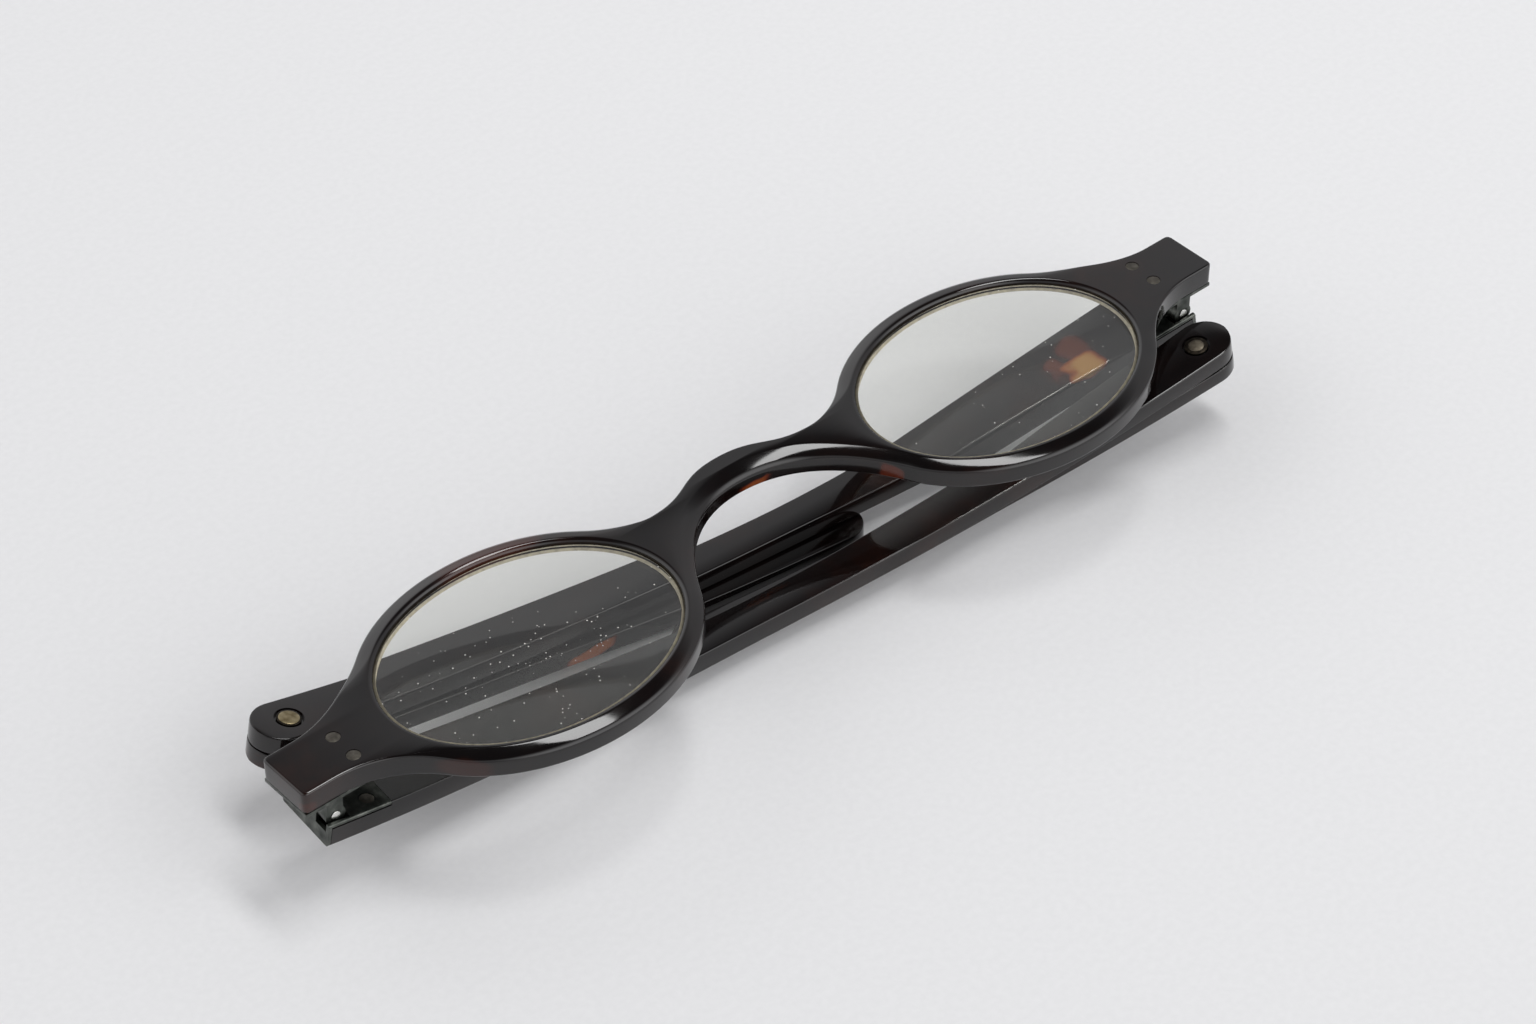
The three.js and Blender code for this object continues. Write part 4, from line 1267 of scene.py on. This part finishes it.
@dataclass
class Rivets:
    """The riveted pins of the hinge leaves: flush heads with a slight dome."""

    finishes: Finishes
    dome: float = 0.06
    sides: int = 40
    rings: int = 6

    def tree(self) -> bpy.types.NodeTree:
        """One rivet at each point of the mesh, turned to the point's own axis.

        Returns:
            The tree.
        """
        tree, given, out = geometry_tree("riveted_pins", (
            ("Radius", "NodeSocketFloat"), ("Length", "NodeSocketFloat"), ("Dome", "NodeSocketFloat"),
            ("Metal", "NodeSocketMaterial")), takes_mesh=True)
        pin = add_node(tree, "GeometryNodeMeshCylinder", {
            "Vertices": self.sides, "Fill Segments": self.rings, "Radius": given.outputs["Radius"],
            "Depth": given.outputs["Length"]}, fill_type="TRIANGLE_FAN")
        place = add_node(tree, "GeometryNodeInputPosition")
        parts = add_node(tree, "ShaderNodeSeparateXYZ", {0: place.outputs[0]})
        flat = add_node(tree, "ShaderNodeCombineXYZ", {"X": parts.outputs["X"], "Y": parts.outputs["Y"]})
        away = add_node(tree, "ShaderNodeVectorMath", {0: flat.outputs[0]}, operation="LENGTH")
        share = add_node(tree, "ShaderNodeMath", {
            0: away.outputs["Value"], 1: given.outputs["Radius"]}, operation="DIVIDE")
        squared = add_node(tree, "ShaderNodeMath", {0: share.outputs[0], 1: 2.0}, operation="POWER")
        fall = add_node(tree, "ShaderNodeMath", {0: 1.0, 1: squared.outputs[0]}, operation="SUBTRACT")
        way = add_node(tree, "ShaderNodeMath", {0: parts.outputs["Z"]}, operation="SIGN")
        rise = add_node(tree, "ShaderNodeMath", {
            0: fall.outputs[0], 1: way.outputs[0]}, operation="MULTIPLY")
        lift = add_node(tree, "ShaderNodeMath", {
            0: rise.outputs[0], 1: given.outputs["Dome"]}, operation="MULTIPLY")
        offset = add_node(tree, "ShaderNodeCombineXYZ", {"Z": lift.outputs[0]})
        domed = add_node(tree, "GeometryNodeSetPosition", {
            "Geometry": pin.outputs["Mesh"], "Offset": offset.outputs[0]})
        axis = add_node(tree, "GeometryNodeInputNamedAttribute", {"Name": "axis"}, data_type="FLOAT_VECTOR")
        turn = add_node(tree, "FunctionNodeAlignRotationToVector", {"Vector": axis.outputs[0]}, axis="Z")
        placed = add_node(tree, "GeometryNodeInstanceOnPoints", {
            "Points": given.outputs["Geometry"], "Instance": domed.outputs[0], "Rotation": turn.outputs[0]})
        real = add_node(tree, "GeometryNodeRealizeInstances", {"Geometry": placed.outputs[0]})
        dressed = add_node(tree, "GeometryNodeSetMaterial", {
            "Geometry": real.outputs[0], "Material": given.outputs["Metal"]})
        tree.links.new(dressed.outputs[0], out.inputs["Geometry"])
        return tree

    def row(self, name: str, tree: bpy.types.NodeTree, nodes: Sequence[str], axis: Vector,
            length: float) -> bpy.types.Object:
        """The rivets of one body.

        Args:
            name: The piece's name.
            tree: The rivets' tree.
            nodes: The solids that say where they are.
            axis: Their direction.
            length: Their length without domes, in metres.

        Returns:
            One mesh with all of them.
        """
        boxes = [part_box(node) for node in nodes]
        mesh = bpy.data.meshes.new(name)
        mesh.from_pydata([(low + high) / 2 for low, high in boxes], [], [])
        attribute = mesh.attributes.new("axis", "FLOAT_VECTOR", "POINT")
        for item in attribute.data:
            item.vector = axis
        low, high = boxes[0]
        return grow(name, tree, {
            "Radius": (high.y - low.y) / 2,
            "Length": length,
            "Dome": self.dome * MM,
            "Metal": self.finishes.rivet}, mesh)

    def dress(self, sides: Sequence["FoldingSide"]) -> None:
        """Builds the end pieces' rivets and each side leaf's.

        Args:
            sides: The two sides that the leaves are let into.
        """
        tree = self.tree()
        ends = [node for side in Side for node in rivet_nodes(side, "end")]
        low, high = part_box(ends[0])
        length = high.z - low.z - 2 * self.dome * MM
        pins = self.row("end_rivets", tree, ends, Vector((0, 0, 1)), length)
        settle(smooth(pins), "front", Slot.BRASS, *ends)
        for folded in sides:
            nodes = rivet_nodes(folded.side, "leaf")
            axis = folded.bow_normal(folded.leaf_rivet_inboard)
            length = (folded.hinge_thickness - 2 * self.dome) * MM
            pins = self.row(folded.side.named("leaf_rivets"), tree, nodes, axis, length)
            settle(smooth(pins), folded.side.named("side"), Slot.BRASS, *nodes)


@dataclass
class FoldingSide:
    """One side: a front bar on its hinge, and a rear bar folded under it on its turn pin."""

    side: Side
    finishes: Finishes
    bow_radius: float = 300.0
    low_from_hinge: float = 52.0
    drop_at_hinge: float = 0.45
    side_length: float = 110.2
    hinge_width: float = 7.7
    waist: tuple[float, float] = (52.0, 3.9)
    pin_width: float = 5.9
    hinge_thickness: float = 2.5
    pin_thickness: float = 2.0
    end_past_pin: float = 1.0
    corner: float = 0.18
    corner_share: float = 0.9
    corner_steps: int = 5
    waist_softness: float = 0.15
    rear_length: float = 68.0
    rear_waist: tuple[float, float] = (30.0, 4.2)
    rear_tip_width: float = 5.0
    rear_thickness: float = 1.8
    seam: float = 0.2
    station_step: float = 0.8
    tip_steps: int = 14
    tip_turn_deg: float = 88.0
    seat_gap: float = 0.05
    end_inset: float = 3.65
    end_height: float = END_HEIGHT_MM
    knuckle_radius: float = 1.1
    knuckle_length: float = 3.3
    knuckle_clearance: float = 0.75
    ear_length: float = 1.42
    ear_web_half: float = 0.9
    ear_slot_clearance: float = 0.2
    ear_steps: int = 30
    side_play: float = 0.12
    hinge_pin_radius: float = 0.5
    hinge_pin_proud: float = 0.12
    bore_clearance: float = 0.06
    well_clearance: float = 0.4
    well_end_clearance: float = 0.28
    well_steps: int = 40
    weld: float = 0.012
    front_leaf_length: float = 8.6
    front_leaf_thickness: float = 0.4
    front_leaf_margin: float = 0.1
    front_leaf_corner: float = 0.8
    front_leaf_edge: float = 0.05
    side_leaf_length: float = 6.0
    side_leaf_thickness: float = 0.45
    side_leaf_cap: float = 0.4
    side_leaf_edge: float = 0.04
    stop_clearance: float = 0.1
    rivet_hole: float = 0.78
    rivet_rows: tuple[float, float] = (-2.0, 1.2)
    end_rivet_inboard: float = 3.15
    leaf_rivet_inboard: float = 4.2
    shank_radius: float = 0.65
    head_radius: float = 1.4
    head_height: float = 0.45
    peen_height: float = 0.08
    peen_radius: dict[Side, float] = field(default_factory=lambda: {Side.LEFT: 0.85, Side.RIGHT: 1.05})
    washer_radius: float = 1.25
    washer_thickness: float = 0.3
    washer_gap: float = 0.25
    washer_edge: float = 0.05
    on_bars: Matrix = field(init=False)
    on_end: Matrix = field(init=False)
    on_hinge_pin: Matrix = field(init=False)
    on_pin: Matrix = field(init=False)
    on_rear: Matrix = field(init=False)
    centre: Vector = field(init=False)
    hinge_angle: float = field(init=False)
    pin_along: float = field(init=False)
    axis_to_leaf: float = field(init=False)
    bar_end: float = field(init=False)
    ear_outer: float = field(init=False)
    well_end: float = field(init=False)
    slot_half: float = field(init=False)

    def __post_init__(self) -> None:
        """Works out the places and angles that the pieces share."""
        self.find_places()
        self.hinge_angle = -math.asin(self.low_from_hinge / self.bow_radius)
        pin_angle = math.asin((self.side_length - self.low_from_hinge) / self.bow_radius)
        self.pin_along = self.bow_radius * (pin_angle - self.hinge_angle)
        self.centre = Vector((
            self.low_from_hinge, 0, self.bow_radius * math.cos(self.hinge_angle) - self.drop_at_hinge))
        over = math.radians(frame_joint(self.side.named("side_hinge")).limit_deg - 90)
        self.axis_to_leaf = self.knuckle_radius + self.knuckle_clearance
        reach = (self.axis_to_leaf - self.stop_clearance
                 - (self.drop_at_hinge + self.hinge_thickness) * math.sin(over)) / math.cos(over)
        lean_back = self.hinge_thickness * math.sin(self.hinge_angle)
        self.bar_end = -(reach + lean_back) / math.cos(self.hinge_angle)
        self.ear_outer = self.knuckle_length / 2 + self.side_play + self.ear_length
        self.well_end = self.ear_outer + self.well_end_clearance
        self.slot_half = self.ear_web_half + self.axis_to_leaf * math.sin(over) + self.ear_slot_clearance

    def find_places(self) -> None:
        """Takes the pieces' placings from the side's two joints."""
        up = Vector((0, 0, 1))
        sign = self.side.sign
        hinge = frame_joint(self.side.named("side_hinge"))
        turn = frame_joint(self.side.named("turn_pin"))
        self.on_bars = placing(hinge.origin, hinge.direction.cross(up), up)
        self.on_end = placing(hinge.origin, Vector((-sign, 0, 0)), up)
        lean = math.atan2(-sign * hinge.direction.x, -sign * hinge.direction.y)
        self.on_hinge_pin = crosswise(self.on_end @ Matrix.Rotation(-lean, 4, "Z"))
        home = hinge.origin - turn.origin
        home = (home - turn.direction * home.dot(turn.direction)).normalized()
        self.on_pin = placing(turn.origin, home, turn.direction)
        fold = math.radians(turn.limit_deg - 180)
        self.on_rear = self.on_pin @ Matrix.Rotation(-fold, 4, "Z")

    @property
    def hinge_bore(self) -> float:
        """Radius of the holes for the hinge pin."""
        return self.hinge_pin_radius + self.bore_clearance

    @property
    def turn_bore(self) -> float:
        """Radius of the holes for the turn pin."""
        return self.shank_radius + self.bore_clearance

    @property
    def stack(self) -> float:
        """Both bars' thickness at the turn pin, with the seam between them."""
        return self.pin_thickness + self.seam + self.rear_thickness

    def thickness(self, along: float) -> float:
        """The front bar's thickness at a place along it."""
        return self.hinge_thickness + (self.pin_thickness - self.hinge_thickness) * along / self.pin_along

    def angle_at(self, along: float) -> float:
        """The bow's angle from its lowest place, at a place along the front bar."""
        return self.hinge_angle + along / self.bow_radius

    def bow_normal(self, along: float) -> Vector:
        """The direction square to the bow, in the frame, at a place along the front bar.

        Args:
            along: The place.

        Returns:
            A unit direction.
        """
        angle = self.angle_at(along)
        local = Vector((-math.sin(angle), 0, math.cos(angle)))
        return (self.on_bars.to_3x3() @ local).normalized()

    def on_bow(self, along: float, across: float) -> Matrix:
        """Where a tool set square to the bow goes.

        Args:
            along: The place along the front bar.
            across: How far to the side of its middle.

        Returns:
            The tool's placing.
        """
        angle = self.angle_at(along)
        spot = self.bow_point(self.centre, angle, across, 0.0)
        return self.on_bars @ Matrix.Translation(spot) @ Matrix.Rotation(-angle, 4, "Y")

    def bow_point(self, centre: Vector, angle: float, across: float, depth: float) -> Vector:
        """A point at an angle of the bow, some way across it and below its top face."""
        radius = self.bow_radius + depth
        return Vector((centre.x + radius * math.sin(angle), across, centre.z - radius * math.cos(angle)))

    def waisted_half(self, along: float, start: tuple[float, float], end: tuple[float, float],
                     waist: tuple[float, float]) -> float:
        """Half the width of a bar that narrows from both ends to a waist.

        Args:
            along: The place along the bar.
            start: Place and width at its start.
            end: Place and width at its end.
            waist: Place and width of the waist.

        Returns:
            Half the width there.
        """
        limit = start if along < waist[0] else end
        share = (along - waist[0]) / (limit[0] - waist[0])
        soft = self.waist_softness
        eased = (math.hypot(share, soft) - soft) / (math.hypot(1, soft) - soft)
        return (waist[1] + (limit[1] - waist[1]) * eased) / 2

    def front_half(self, along: float) -> float:
        """Half the front bar's width at a place along it."""
        return self.waisted_half(along, (0.0, self.hinge_width),
                                 (self.pin_along + self.end_past_pin, self.pin_width), self.waist)

    def rear_half(self, from_pin: float) -> float:
        """Half the rear bar's width at a distance from the pin.

        Args:
            from_pin: The distance.

        Returns:
            Half the width there.
        """
        tip = self.rear_length - self.rear_tip_width / 2
        return self.waisted_half(from_pin, (-self.end_past_pin, self.pin_width),
                                 (tip, self.rear_tip_width), self.rear_waist)

    def section(self, half: float, top: float, bottom: float) -> list[tuple[float, float]]:
        """A bar's cross-section: a rectangle with rounded corners.

        Args:
            half: Half its width.
            top: Depth of its top.
            bottom: Depth of its bottom.

        Returns:
            Pairs of across and depth.
        """
        corner = min(self.corner, half * self.corner_share, (bottom - top) * self.corner_share / 2)
        centres = ((half - corner, top + corner, -90), (half - corner, bottom - corner, 0),
                   (corner - half, bottom - corner, 90), (corner - half, top + corner, 180))
        turns = [90 * k / self.corner_steps for k in range(self.corner_steps + 1)]
        return [(across + corner * math.cos(math.radians(start + turn)),
                 depth + corner * math.sin(math.radians(start + turn)))
                for across, depth, start in centres for turn in turns]

    def bar(self, name: str, centre: Vector, stations: Sequence[Station], place: Matrix,
            finish: bpy.types.Material) -> bpy.types.Object:
        """A bowed bar through stations.

        Args:
            name: The piece's name.
            centre: The bow's centre.
            stations: Angle, half width, top depth and bottom depth of each.
            place: Where it goes.
            finish: Its material.

        Returns:
            The bar.
        """
        rings = [[self.bow_point(centre, angle, across, depth)
                  for across, depth in self.section(half, top, bottom)]
                 for angle, half, top, bottom in stations]
        return loft(name, rings, place, finish)

    def steps(self, start: float, end: float) -> list[float]:
        """Even places from start to end."""
        count = math.ceil(abs(end - start) / self.station_step)
        return [start + (end - start) * k / count for k in range(count + 1)]

    def round_end(self, centre: float, radius: float, sign: int) -> list[tuple[float, float]]:
        """Places along a round end, with the half width at each.

        Args:
            centre: Where the round starts.
            radius: Its radius.
            sign: 1 for a far end, -1 for a near one.

        Returns:
            Pairs of place and half width, away from the bar.
        """
        turns = [math.radians(self.tip_turn_deg) * math.sin(k / self.tip_steps * math.pi / 2)
                 for k in range(1, self.tip_steps + 1)]
        return [(centre + sign * radius * math.sin(turn), radius * math.cos(turn)) for turn in turns]

    def front_station(self, along: float, half: float | None = None, top: float = 0.0,
                      bottom: float | None = None) -> Station:
        """A station of the front bar, whole unless told otherwise."""
        return (self.angle_at(along), self.front_half(along) if half is None else half, top,
                self.thickness(along) if bottom is None else bottom)

    def rivet_drills(self) -> list[bpy.types.Object]:
        """Drills for the side leaf's rivets.

        Returns:
            One drill for each rivet.
        """
        reach = 2 * self.hinge_thickness
        places = [self.on_bow(self.leaf_rivet_inboard, row) for row in self.rivet_rows]
        return [drill(place, self.rivet_hole, -reach, reach, self.finishes.shell) for place in places]

    def ear_clearance(self, low: float, high: float, finish: bpy.types.Material) -> bpy.types.Object:
        """A tool that clears the ears from shut to open: a round well with a slot from it past the bar's end.

        Args:
            low: Where it starts along the hinge's axis.
            high: Where it ends.
            finish: The material of the cut faces.

        Returns:
            The tool.
        """
        far = -2 * self.axis_to_leaf
        radius = self.knuckle_radius + self.well_clearance
        mouth = math.asin(self.slot_half / radius)
        sweep = [math.pi + mouth + 2 * (math.pi - mouth) * k / self.well_steps
                 for k in range(self.well_steps + 1)]
        outline = [Vector((far, -self.slot_half)),
                   *(Vector((radius * math.cos(t), radius * math.sin(t))) for t in sweep),
                   Vector((far, self.slot_half))]
        return prism("keyhole", outline, low, high, crosswise(self.on_bars), finish)

    def build_front_bar(self) -> bpy.types.Object:
        """The front bar with its leaf's seat, the hinge's well and the countersunk pin hole.

        Returns:
            The bar.
        """
        shell = self.finishes.shell
        first = self.bar_end + self.side_leaf_cap + self.seat_gap
        last = self.pin_along + self.end_past_pin
        stations = [self.front_station(place) for place in self.steps(first, last)]
        stations += [self.front_station(place, half)
                     for place, half in self.round_end(last, self.pin_width / 2, 1)]
        bar = self.bar(self.side.named("front_bar_shell"), self.centre, stations, self.on_bars, shell)
        seat_end = self.side_leaf_length + self.seat_gap
        seat_depth = self.side_leaf_thickness + self.seat_gap
        seat = self.bar("seat", self.centre, [
            self.front_station(place, self.hinge_width, -self.hinge_thickness, seat_depth)
            for place in (self.bar_end, seat_end / 2, seat_end)], self.on_bars, shell)
        at_pin = self.on_bow(self.pin_along, 0.0)
        sink = self.washer_radius + self.washer_gap
        tools = [
            seat,
            self.ear_clearance(-self.well_end, self.well_end, shell),
            *self.rivet_drills(),
            drill(at_pin, self.turn_bore, -2 * self.stack, self.stack, shell),
            drill(at_pin, sink, -self.washer_thickness - self.seat_gap, self.stack, shell),
        ]
        return smooth(combine(bar, tools, "DIFFERENCE"))

    def build_rear_bar(self) -> bpy.types.Object:
        """The rear bar: round about the pin, waisted, widened at its tip, and worn flat where it rests.

        Returns:
            The bar.
        """
        shell = self.finishes.shell
        tip = self.rear_length - self.rear_tip_width / 2

        def station(from_pin: float, half: float) -> Station:
            """A station of the rear bar."""
            top = self.thickness(self.pin_along - from_pin) + self.seam
            return from_pin / self.bow_radius, half, top, top + self.rear_thickness

        pin_end = self.round_end(-self.end_past_pin, self.pin_width / 2, -1)
        tip_end = self.round_end(tip, self.rear_tip_width / 2, 1)
        stations = [station(place, half) for place, half in reversed(pin_end)]
        stations += [station(place, self.rear_half(place)) for place in self.steps(-self.end_past_pin, tip)]
        stations += [station(place, half) for place, half in tip_end]
        centre = Vector((0, 0, self.bow_radius))
        bar = self.bar(self.side.named("rear_bar_shell"), centre, stations, self.on_rear, shell)
        for vertex in bar.data.vertices:
            vertex.co.z = max(vertex.co.z, 0.0)
        hole = drill(self.on_pin, self.turn_bore, -2 * self.stack, self.stack, shell)
        return smooth(combine(bar, [hole], "DIFFERENCE"))

    def build_front_leaf(self) -> bpy.types.Object:
        """The plate under the end piece, with the two ears that hold the hinge pin.

        Returns:
            The leaf.
        """
        steel = self.finishes.steel
        outer = self.front_leaf_margin - self.end_inset
        inboard = outer + self.front_leaf_length
        half = self.end_height / 2 - self.front_leaf_margin
        corners = [Vector((outer, -half)), Vector((inboard, -half)),
                   Vector((inboard, half)), Vector((outer, half))]
        outline = [corners[0],
                   *rounded_corner(corners[1], corners[0], corners[2], self.front_leaf_corner),
                   *rounded_corner(corners[2], corners[1], corners[3], self.front_leaf_corner),
                   corners[3]]
        leaf = prism(self.side.named("front_leaf_plate"), outline, self.axis_to_leaf,
                     self.axis_to_leaf + self.front_leaf_thickness, self.on_end, steel)
        shoulder = math.acos(self.ear_web_half / self.knuckle_radius)
        sweep = [math.pi - shoulder + (math.pi + 2 * shoulder) * k / self.ear_steps
                 for k in range(self.ear_steps + 1)]
        root = self.axis_to_leaf + self.front_leaf_thickness / 2
        ear = [Vector((self.knuckle_radius * math.cos(t), -self.knuckle_radius * math.sin(t))) for t in sweep]
        ear += [Vector((self.ear_web_half, -root)), Vector((-self.ear_web_half, -root))]
        inner = self.ear_outer - self.ear_length
        ears = [prism("ear", ear, low, high, self.on_hinge_pin, steel)
                for low, high in ((-self.ear_outer, -inner), (inner, self.ear_outer))]
        combine(leaf, ears, "UNION")
        holes = [drill(self.on_hinge_pin, self.hinge_bore, -2 * self.ear_outer, 2 * self.ear_outer, steel)]
        for row in self.rivet_rows:
            place = self.on_end @ Matrix.Translation((self.end_rivet_inboard, row, 0))
            holes.append(drill(place, self.rivet_hole, 0.0, 2 * root, steel))
        return smooth(ease_edges(combine(leaf, holes, "DIFFERENCE"), self.front_leaf_edge))

    def build_side_leaf(self) -> bpy.types.Object:
        """The plate let into the side, turned down over its end, with the knuckle between the ears.

        Returns:
            The leaf.
        """
        steel = self.finishes.steel
        leaf = self.bar(self.side.named("side_leaf_plate"), self.centre, [
            self.front_station(place, bottom=self.side_leaf_thickness)
            for place in (self.bar_end, self.side_leaf_length / 2, self.side_leaf_length)],
            self.on_bars, steel)
        # The weld keeps the faces of cap, plate and tools out of one plane, where the cuts would fail.
        turned = self.bar("cap", self.centre, [
            self.front_station(place, self.front_half(place) - self.weld, self.weld)
            for place in (self.bar_end + self.weld, self.bar_end + self.side_leaf_cap)],
            self.on_bars, steel)
        cross = crosswise(self.on_bars)
        knuckle = drill(cross, self.knuckle_radius, -self.knuckle_length / 2, self.knuckle_length / 2, steel)
        combine(leaf, [turned, knuckle], "UNION")
        knuckle_end = self.knuckle_length / 2 + self.weld
        holes = [self.ear_clearance(low, high, steel)
                 for low, high in ((-self.well_end, -knuckle_end), (knuckle_end, self.well_end))]
        holes.append(drill(cross, self.hinge_bore, -self.ear_outer, self.ear_outer, steel))
        combine(leaf, [*holes, *self.rivet_drills()], "DIFFERENCE")
        return smooth(ease_edges(leaf, self.side_leaf_edge))

    def build_hinge_pin(self) -> bpy.types.Object:
        """The hinge pin, with its ends just proud of the ears.

        Returns:
            The pin.
        """
        dome = self.hinge_pin_proud / 2
        reach = self.ear_outer + dome
        profile = [*dome_profile(self.hinge_pin_radius, -reach, -dome),
                   *reversed(dome_profile(self.hinge_pin_radius, reach, dome))]
        return smooth(lathe(self.side.named("hinge_pin_rod"), profile, self.on_hinge_pin,
                            self.finishes.bright_steel))

    def build_turn_pin(self) -> bpy.types.Object:
        """The turn pin: a domed head below, a shank through both bars and a peened end above.

        Returns:
            The pin.
        """
        metal = self.finishes.brass if self.side is Side.RIGHT else self.finishes.dull_brass
        foot = -self.stack - self.seat_gap
        top = self.seat_gap / 2
        profile = [*dome_profile(self.head_radius, foot, -self.head_height),
                   (self.shank_radius, foot), (self.shank_radius, top),
                   *reversed(dome_profile(self.peen_radius[self.side], top, self.peen_height))]
        return smooth(lathe(self.side.named("turn_pin_rod"), profile, self.on_pin, metal))

    def build_washer(self) -> bpy.types.Object:
        """The ring under the peened end.

        Returns:
            The ring.
        """
        # The ring is painted near black for the shade of the countersink round the pin end.
        metal = self.finishes.black_brass
        ring = drill(self.on_pin, self.washer_radius, -self.washer_thickness, 0.0, metal)
        ring.name = self.side.named("pin_washer_ring")
        hole = drill(self.on_pin, self.turn_bore, -2 * self.washer_thickness, self.washer_thickness, metal)
        return smooth(ease_edges(combine(ring, [hole], "DIFFERENCE"), self.washer_edge))

    def dress(self) -> None:
        """Builds the side's pieces and sets each on its body."""
        name = self.side.named
        settle(self.build_front_leaf(), "front", Slot.STEEL, name("front_leaf"))
        settle(self.build_hinge_pin(), "front", Slot.STEEL, name("hinge_pin"))
        settle(self.build_front_bar(), name("side"), Slot.SHELL, name("front_bar"))
        settle(self.build_side_leaf(), name("side"), Slot.STEEL, name("side_leaf"))
        settle(self.build_turn_pin(), name("side"), Slot.BRASS, name("turn_pin"))
        settle(self.build_washer(), name("side"), Slot.BRASS, name("pin_washer"))
        settle(self.build_rear_bar(), name("rear"), Slot.SHELL, name("rear_bar"))


@dataclass(frozen=True)
class SkyGlow:
    """A soft bright patch of the room round a direction."""

    direction: tuple[float, float, float]
    full_deg: float
    fade_deg: float
    strength: float


@dataclass
class Studio:
    """The camera, the paper floor and the soft light of the photograph."""

    lens_mm: float = 98.0
    sensor_mm: float = 36.0
    clip_m: tuple[float, float] = (0.01, 20.0)
    eye_from_face_mm: tuple[float, float, float] = (-209.07, -235.92, 276.7)
    back: tuple[float, float, float] = (-0.49611, -0.56147, 0.6624)
    floor_size: float = 4.0
    floor_gap_mm: float = 0.02
    softbox_from: tuple[float, float, float] = (0.3, 0.0, 0.954)
    softbox_away: float = 0.8
    softbox_size: tuple[float, float] = (0.15, 0.5)
    softbox_power: float = 2.15
    sky: tuple[tuple[float, str], ...] = (
        (0.0, "BCBCBE"), (0.45, "CECED0"), (0.66, "CBCBCD"),
        (0.76, "606062"), (0.82, "3A3A3C"), (1.0, "3A3A3C"))
    glows: tuple[SkyGlow, ...] = (
        SkyGlow((0.15, 0.907, 0.376), full_deg=8.0, fade_deg=28.0, strength=0.6),
        SkyGlow((0.3, -0.88, 0.38), full_deg=15.0, fade_deg=50.0, strength=1.9),
        SkyGlow((-0.7, 0.6, 0.4), full_deg=15.0, fade_deg=55.0, strength=0.9))

    def set_camera(self) -> None:
        """Sets the camera where the photograph was taken from."""
        data = bpy.data.cameras.new("photo_camera")
        data.lens = self.lens_mm
        data.sensor_width = self.sensor_mm
        data.clip_start, data.clip_end = self.clip_m
        camera = bpy.data.objects.new("photo_camera", data)
        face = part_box("front_frame")[1].z
        camera.location = Vector(self.eye_from_face_mm) * MM + Vector((0, 0, face))
        camera.rotation_euler = (-Vector(self.back)).to_track_quat("-Z", "Y").to_euler()
        bpy.context.scene.collection.objects.link(camera)
        bpy.context.scene.camera = camera

    def lay_floor(self) -> None:
        """Lays the pale paper under the spectacles."""
        half = self.floor_size / 2
        z = -self.floor_gap_mm * MM
        corners = [(-half, -half, z), (half, -half, z), (half, half, z), (-half, half, z)]
        mesh = bpy.data.meshes.new("paper_floor")
        mesh.from_pydata(corners, [], [(0, 1, 2, 3)])
        paper = MattePowder("matt_white_paper", light="EAEAEB", dark="E7E7E8", grain_mm=0.8)
        mesh.materials.append(paper.material())
        floor = bpy.data.objects.new("paper_floor", mesh)
        bpy.context.scene.collection.objects.link(floor)

    def light(self) -> None:
        """Hangs the softbox and sets the pale room round it."""
        data = bpy.data.lights.new("softbox", "AREA")
        data.shape = "RECTANGLE"
        data.size, data.size_y = self.softbox_size
        data.energy = self.softbox_power
        softbox = bpy.data.objects.new("softbox", data)
        away = Vector(self.softbox_from).normalized()
        softbox.location = away * self.softbox_away
        across = Vector((0, 1, 0)).cross(away).normalized()
        softbox.rotation_euler = Matrix((across, away.cross(across), away)).transposed().to_euler()
        bpy.context.scene.collection.objects.link(softbox)

        world = bpy.data.worlds.new("pale_room")
        world.use_nodes = True
        tree = world.node_tree
        room = tree.nodes["Background"]
        way = add_node(tree, "ShaderNodeTexCoord").outputs["Generated"]
        height = add_node(tree, "ShaderNodeSeparateXYZ", {0: way})
        tone = add_node(tree, "ShaderNodeValToRGB", {"Fac": height.outputs["Z"]})
        set_ramp(tone, self.sky)
        tree.links.new(tone.outputs["Color"], room.inputs["Color"])
        total = room.outputs[0]
        for glow in self.glows:
            towards = add_node(tree, "ShaderNodeVectorMath", {
                0: way, 1: Vector(glow.direction).normalized()}, operation="DOT_PRODUCT")
            power = add_node(tree, "ShaderNodeMapRange", {
                "Value": towards.outputs["Value"], "From Min": math.cos(math.radians(glow.fade_deg)),
                "From Max": math.cos(math.radians(glow.full_deg)), "To Max": glow.strength},
                interpolation_type="SMOOTHSTEP")
            patch = add_node(tree, "ShaderNodeBackground", {"Strength": power.outputs["Result"]})
            total = add_node(tree, "ShaderNodeAddShader", {0: total, 1: patch.outputs[0]}).outputs[0]
        tree.links.new(total, tree.nodes["World Output"].inputs["Surface"])
        bpy.context.scene.world = world

    def set_up(self) -> None:
        """Sets camera, floor, light and plain tones."""
        self.set_camera()
        self.lay_floor()
        self.light()
        bpy.context.scene.view_settings.view_transform = "Standard"


def main() -> None:
    """Builds the studio and the spectacles, and notes their sizes."""
    logging.basicConfig(level=logging.INFO, format="%(name)s: %(message)s")
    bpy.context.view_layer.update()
    Studio().set_up()
    finishes = Finishes.build()
    FrontShell(finishes).dress()
    Lenses(finishes).dress()
    sides = [FoldingSide(side, finishes) for side in Side]
    for folded in sides:
        folded.dress()
    Rivets(finishes).dress(sides)


if __name__ == "__main__":
    main()
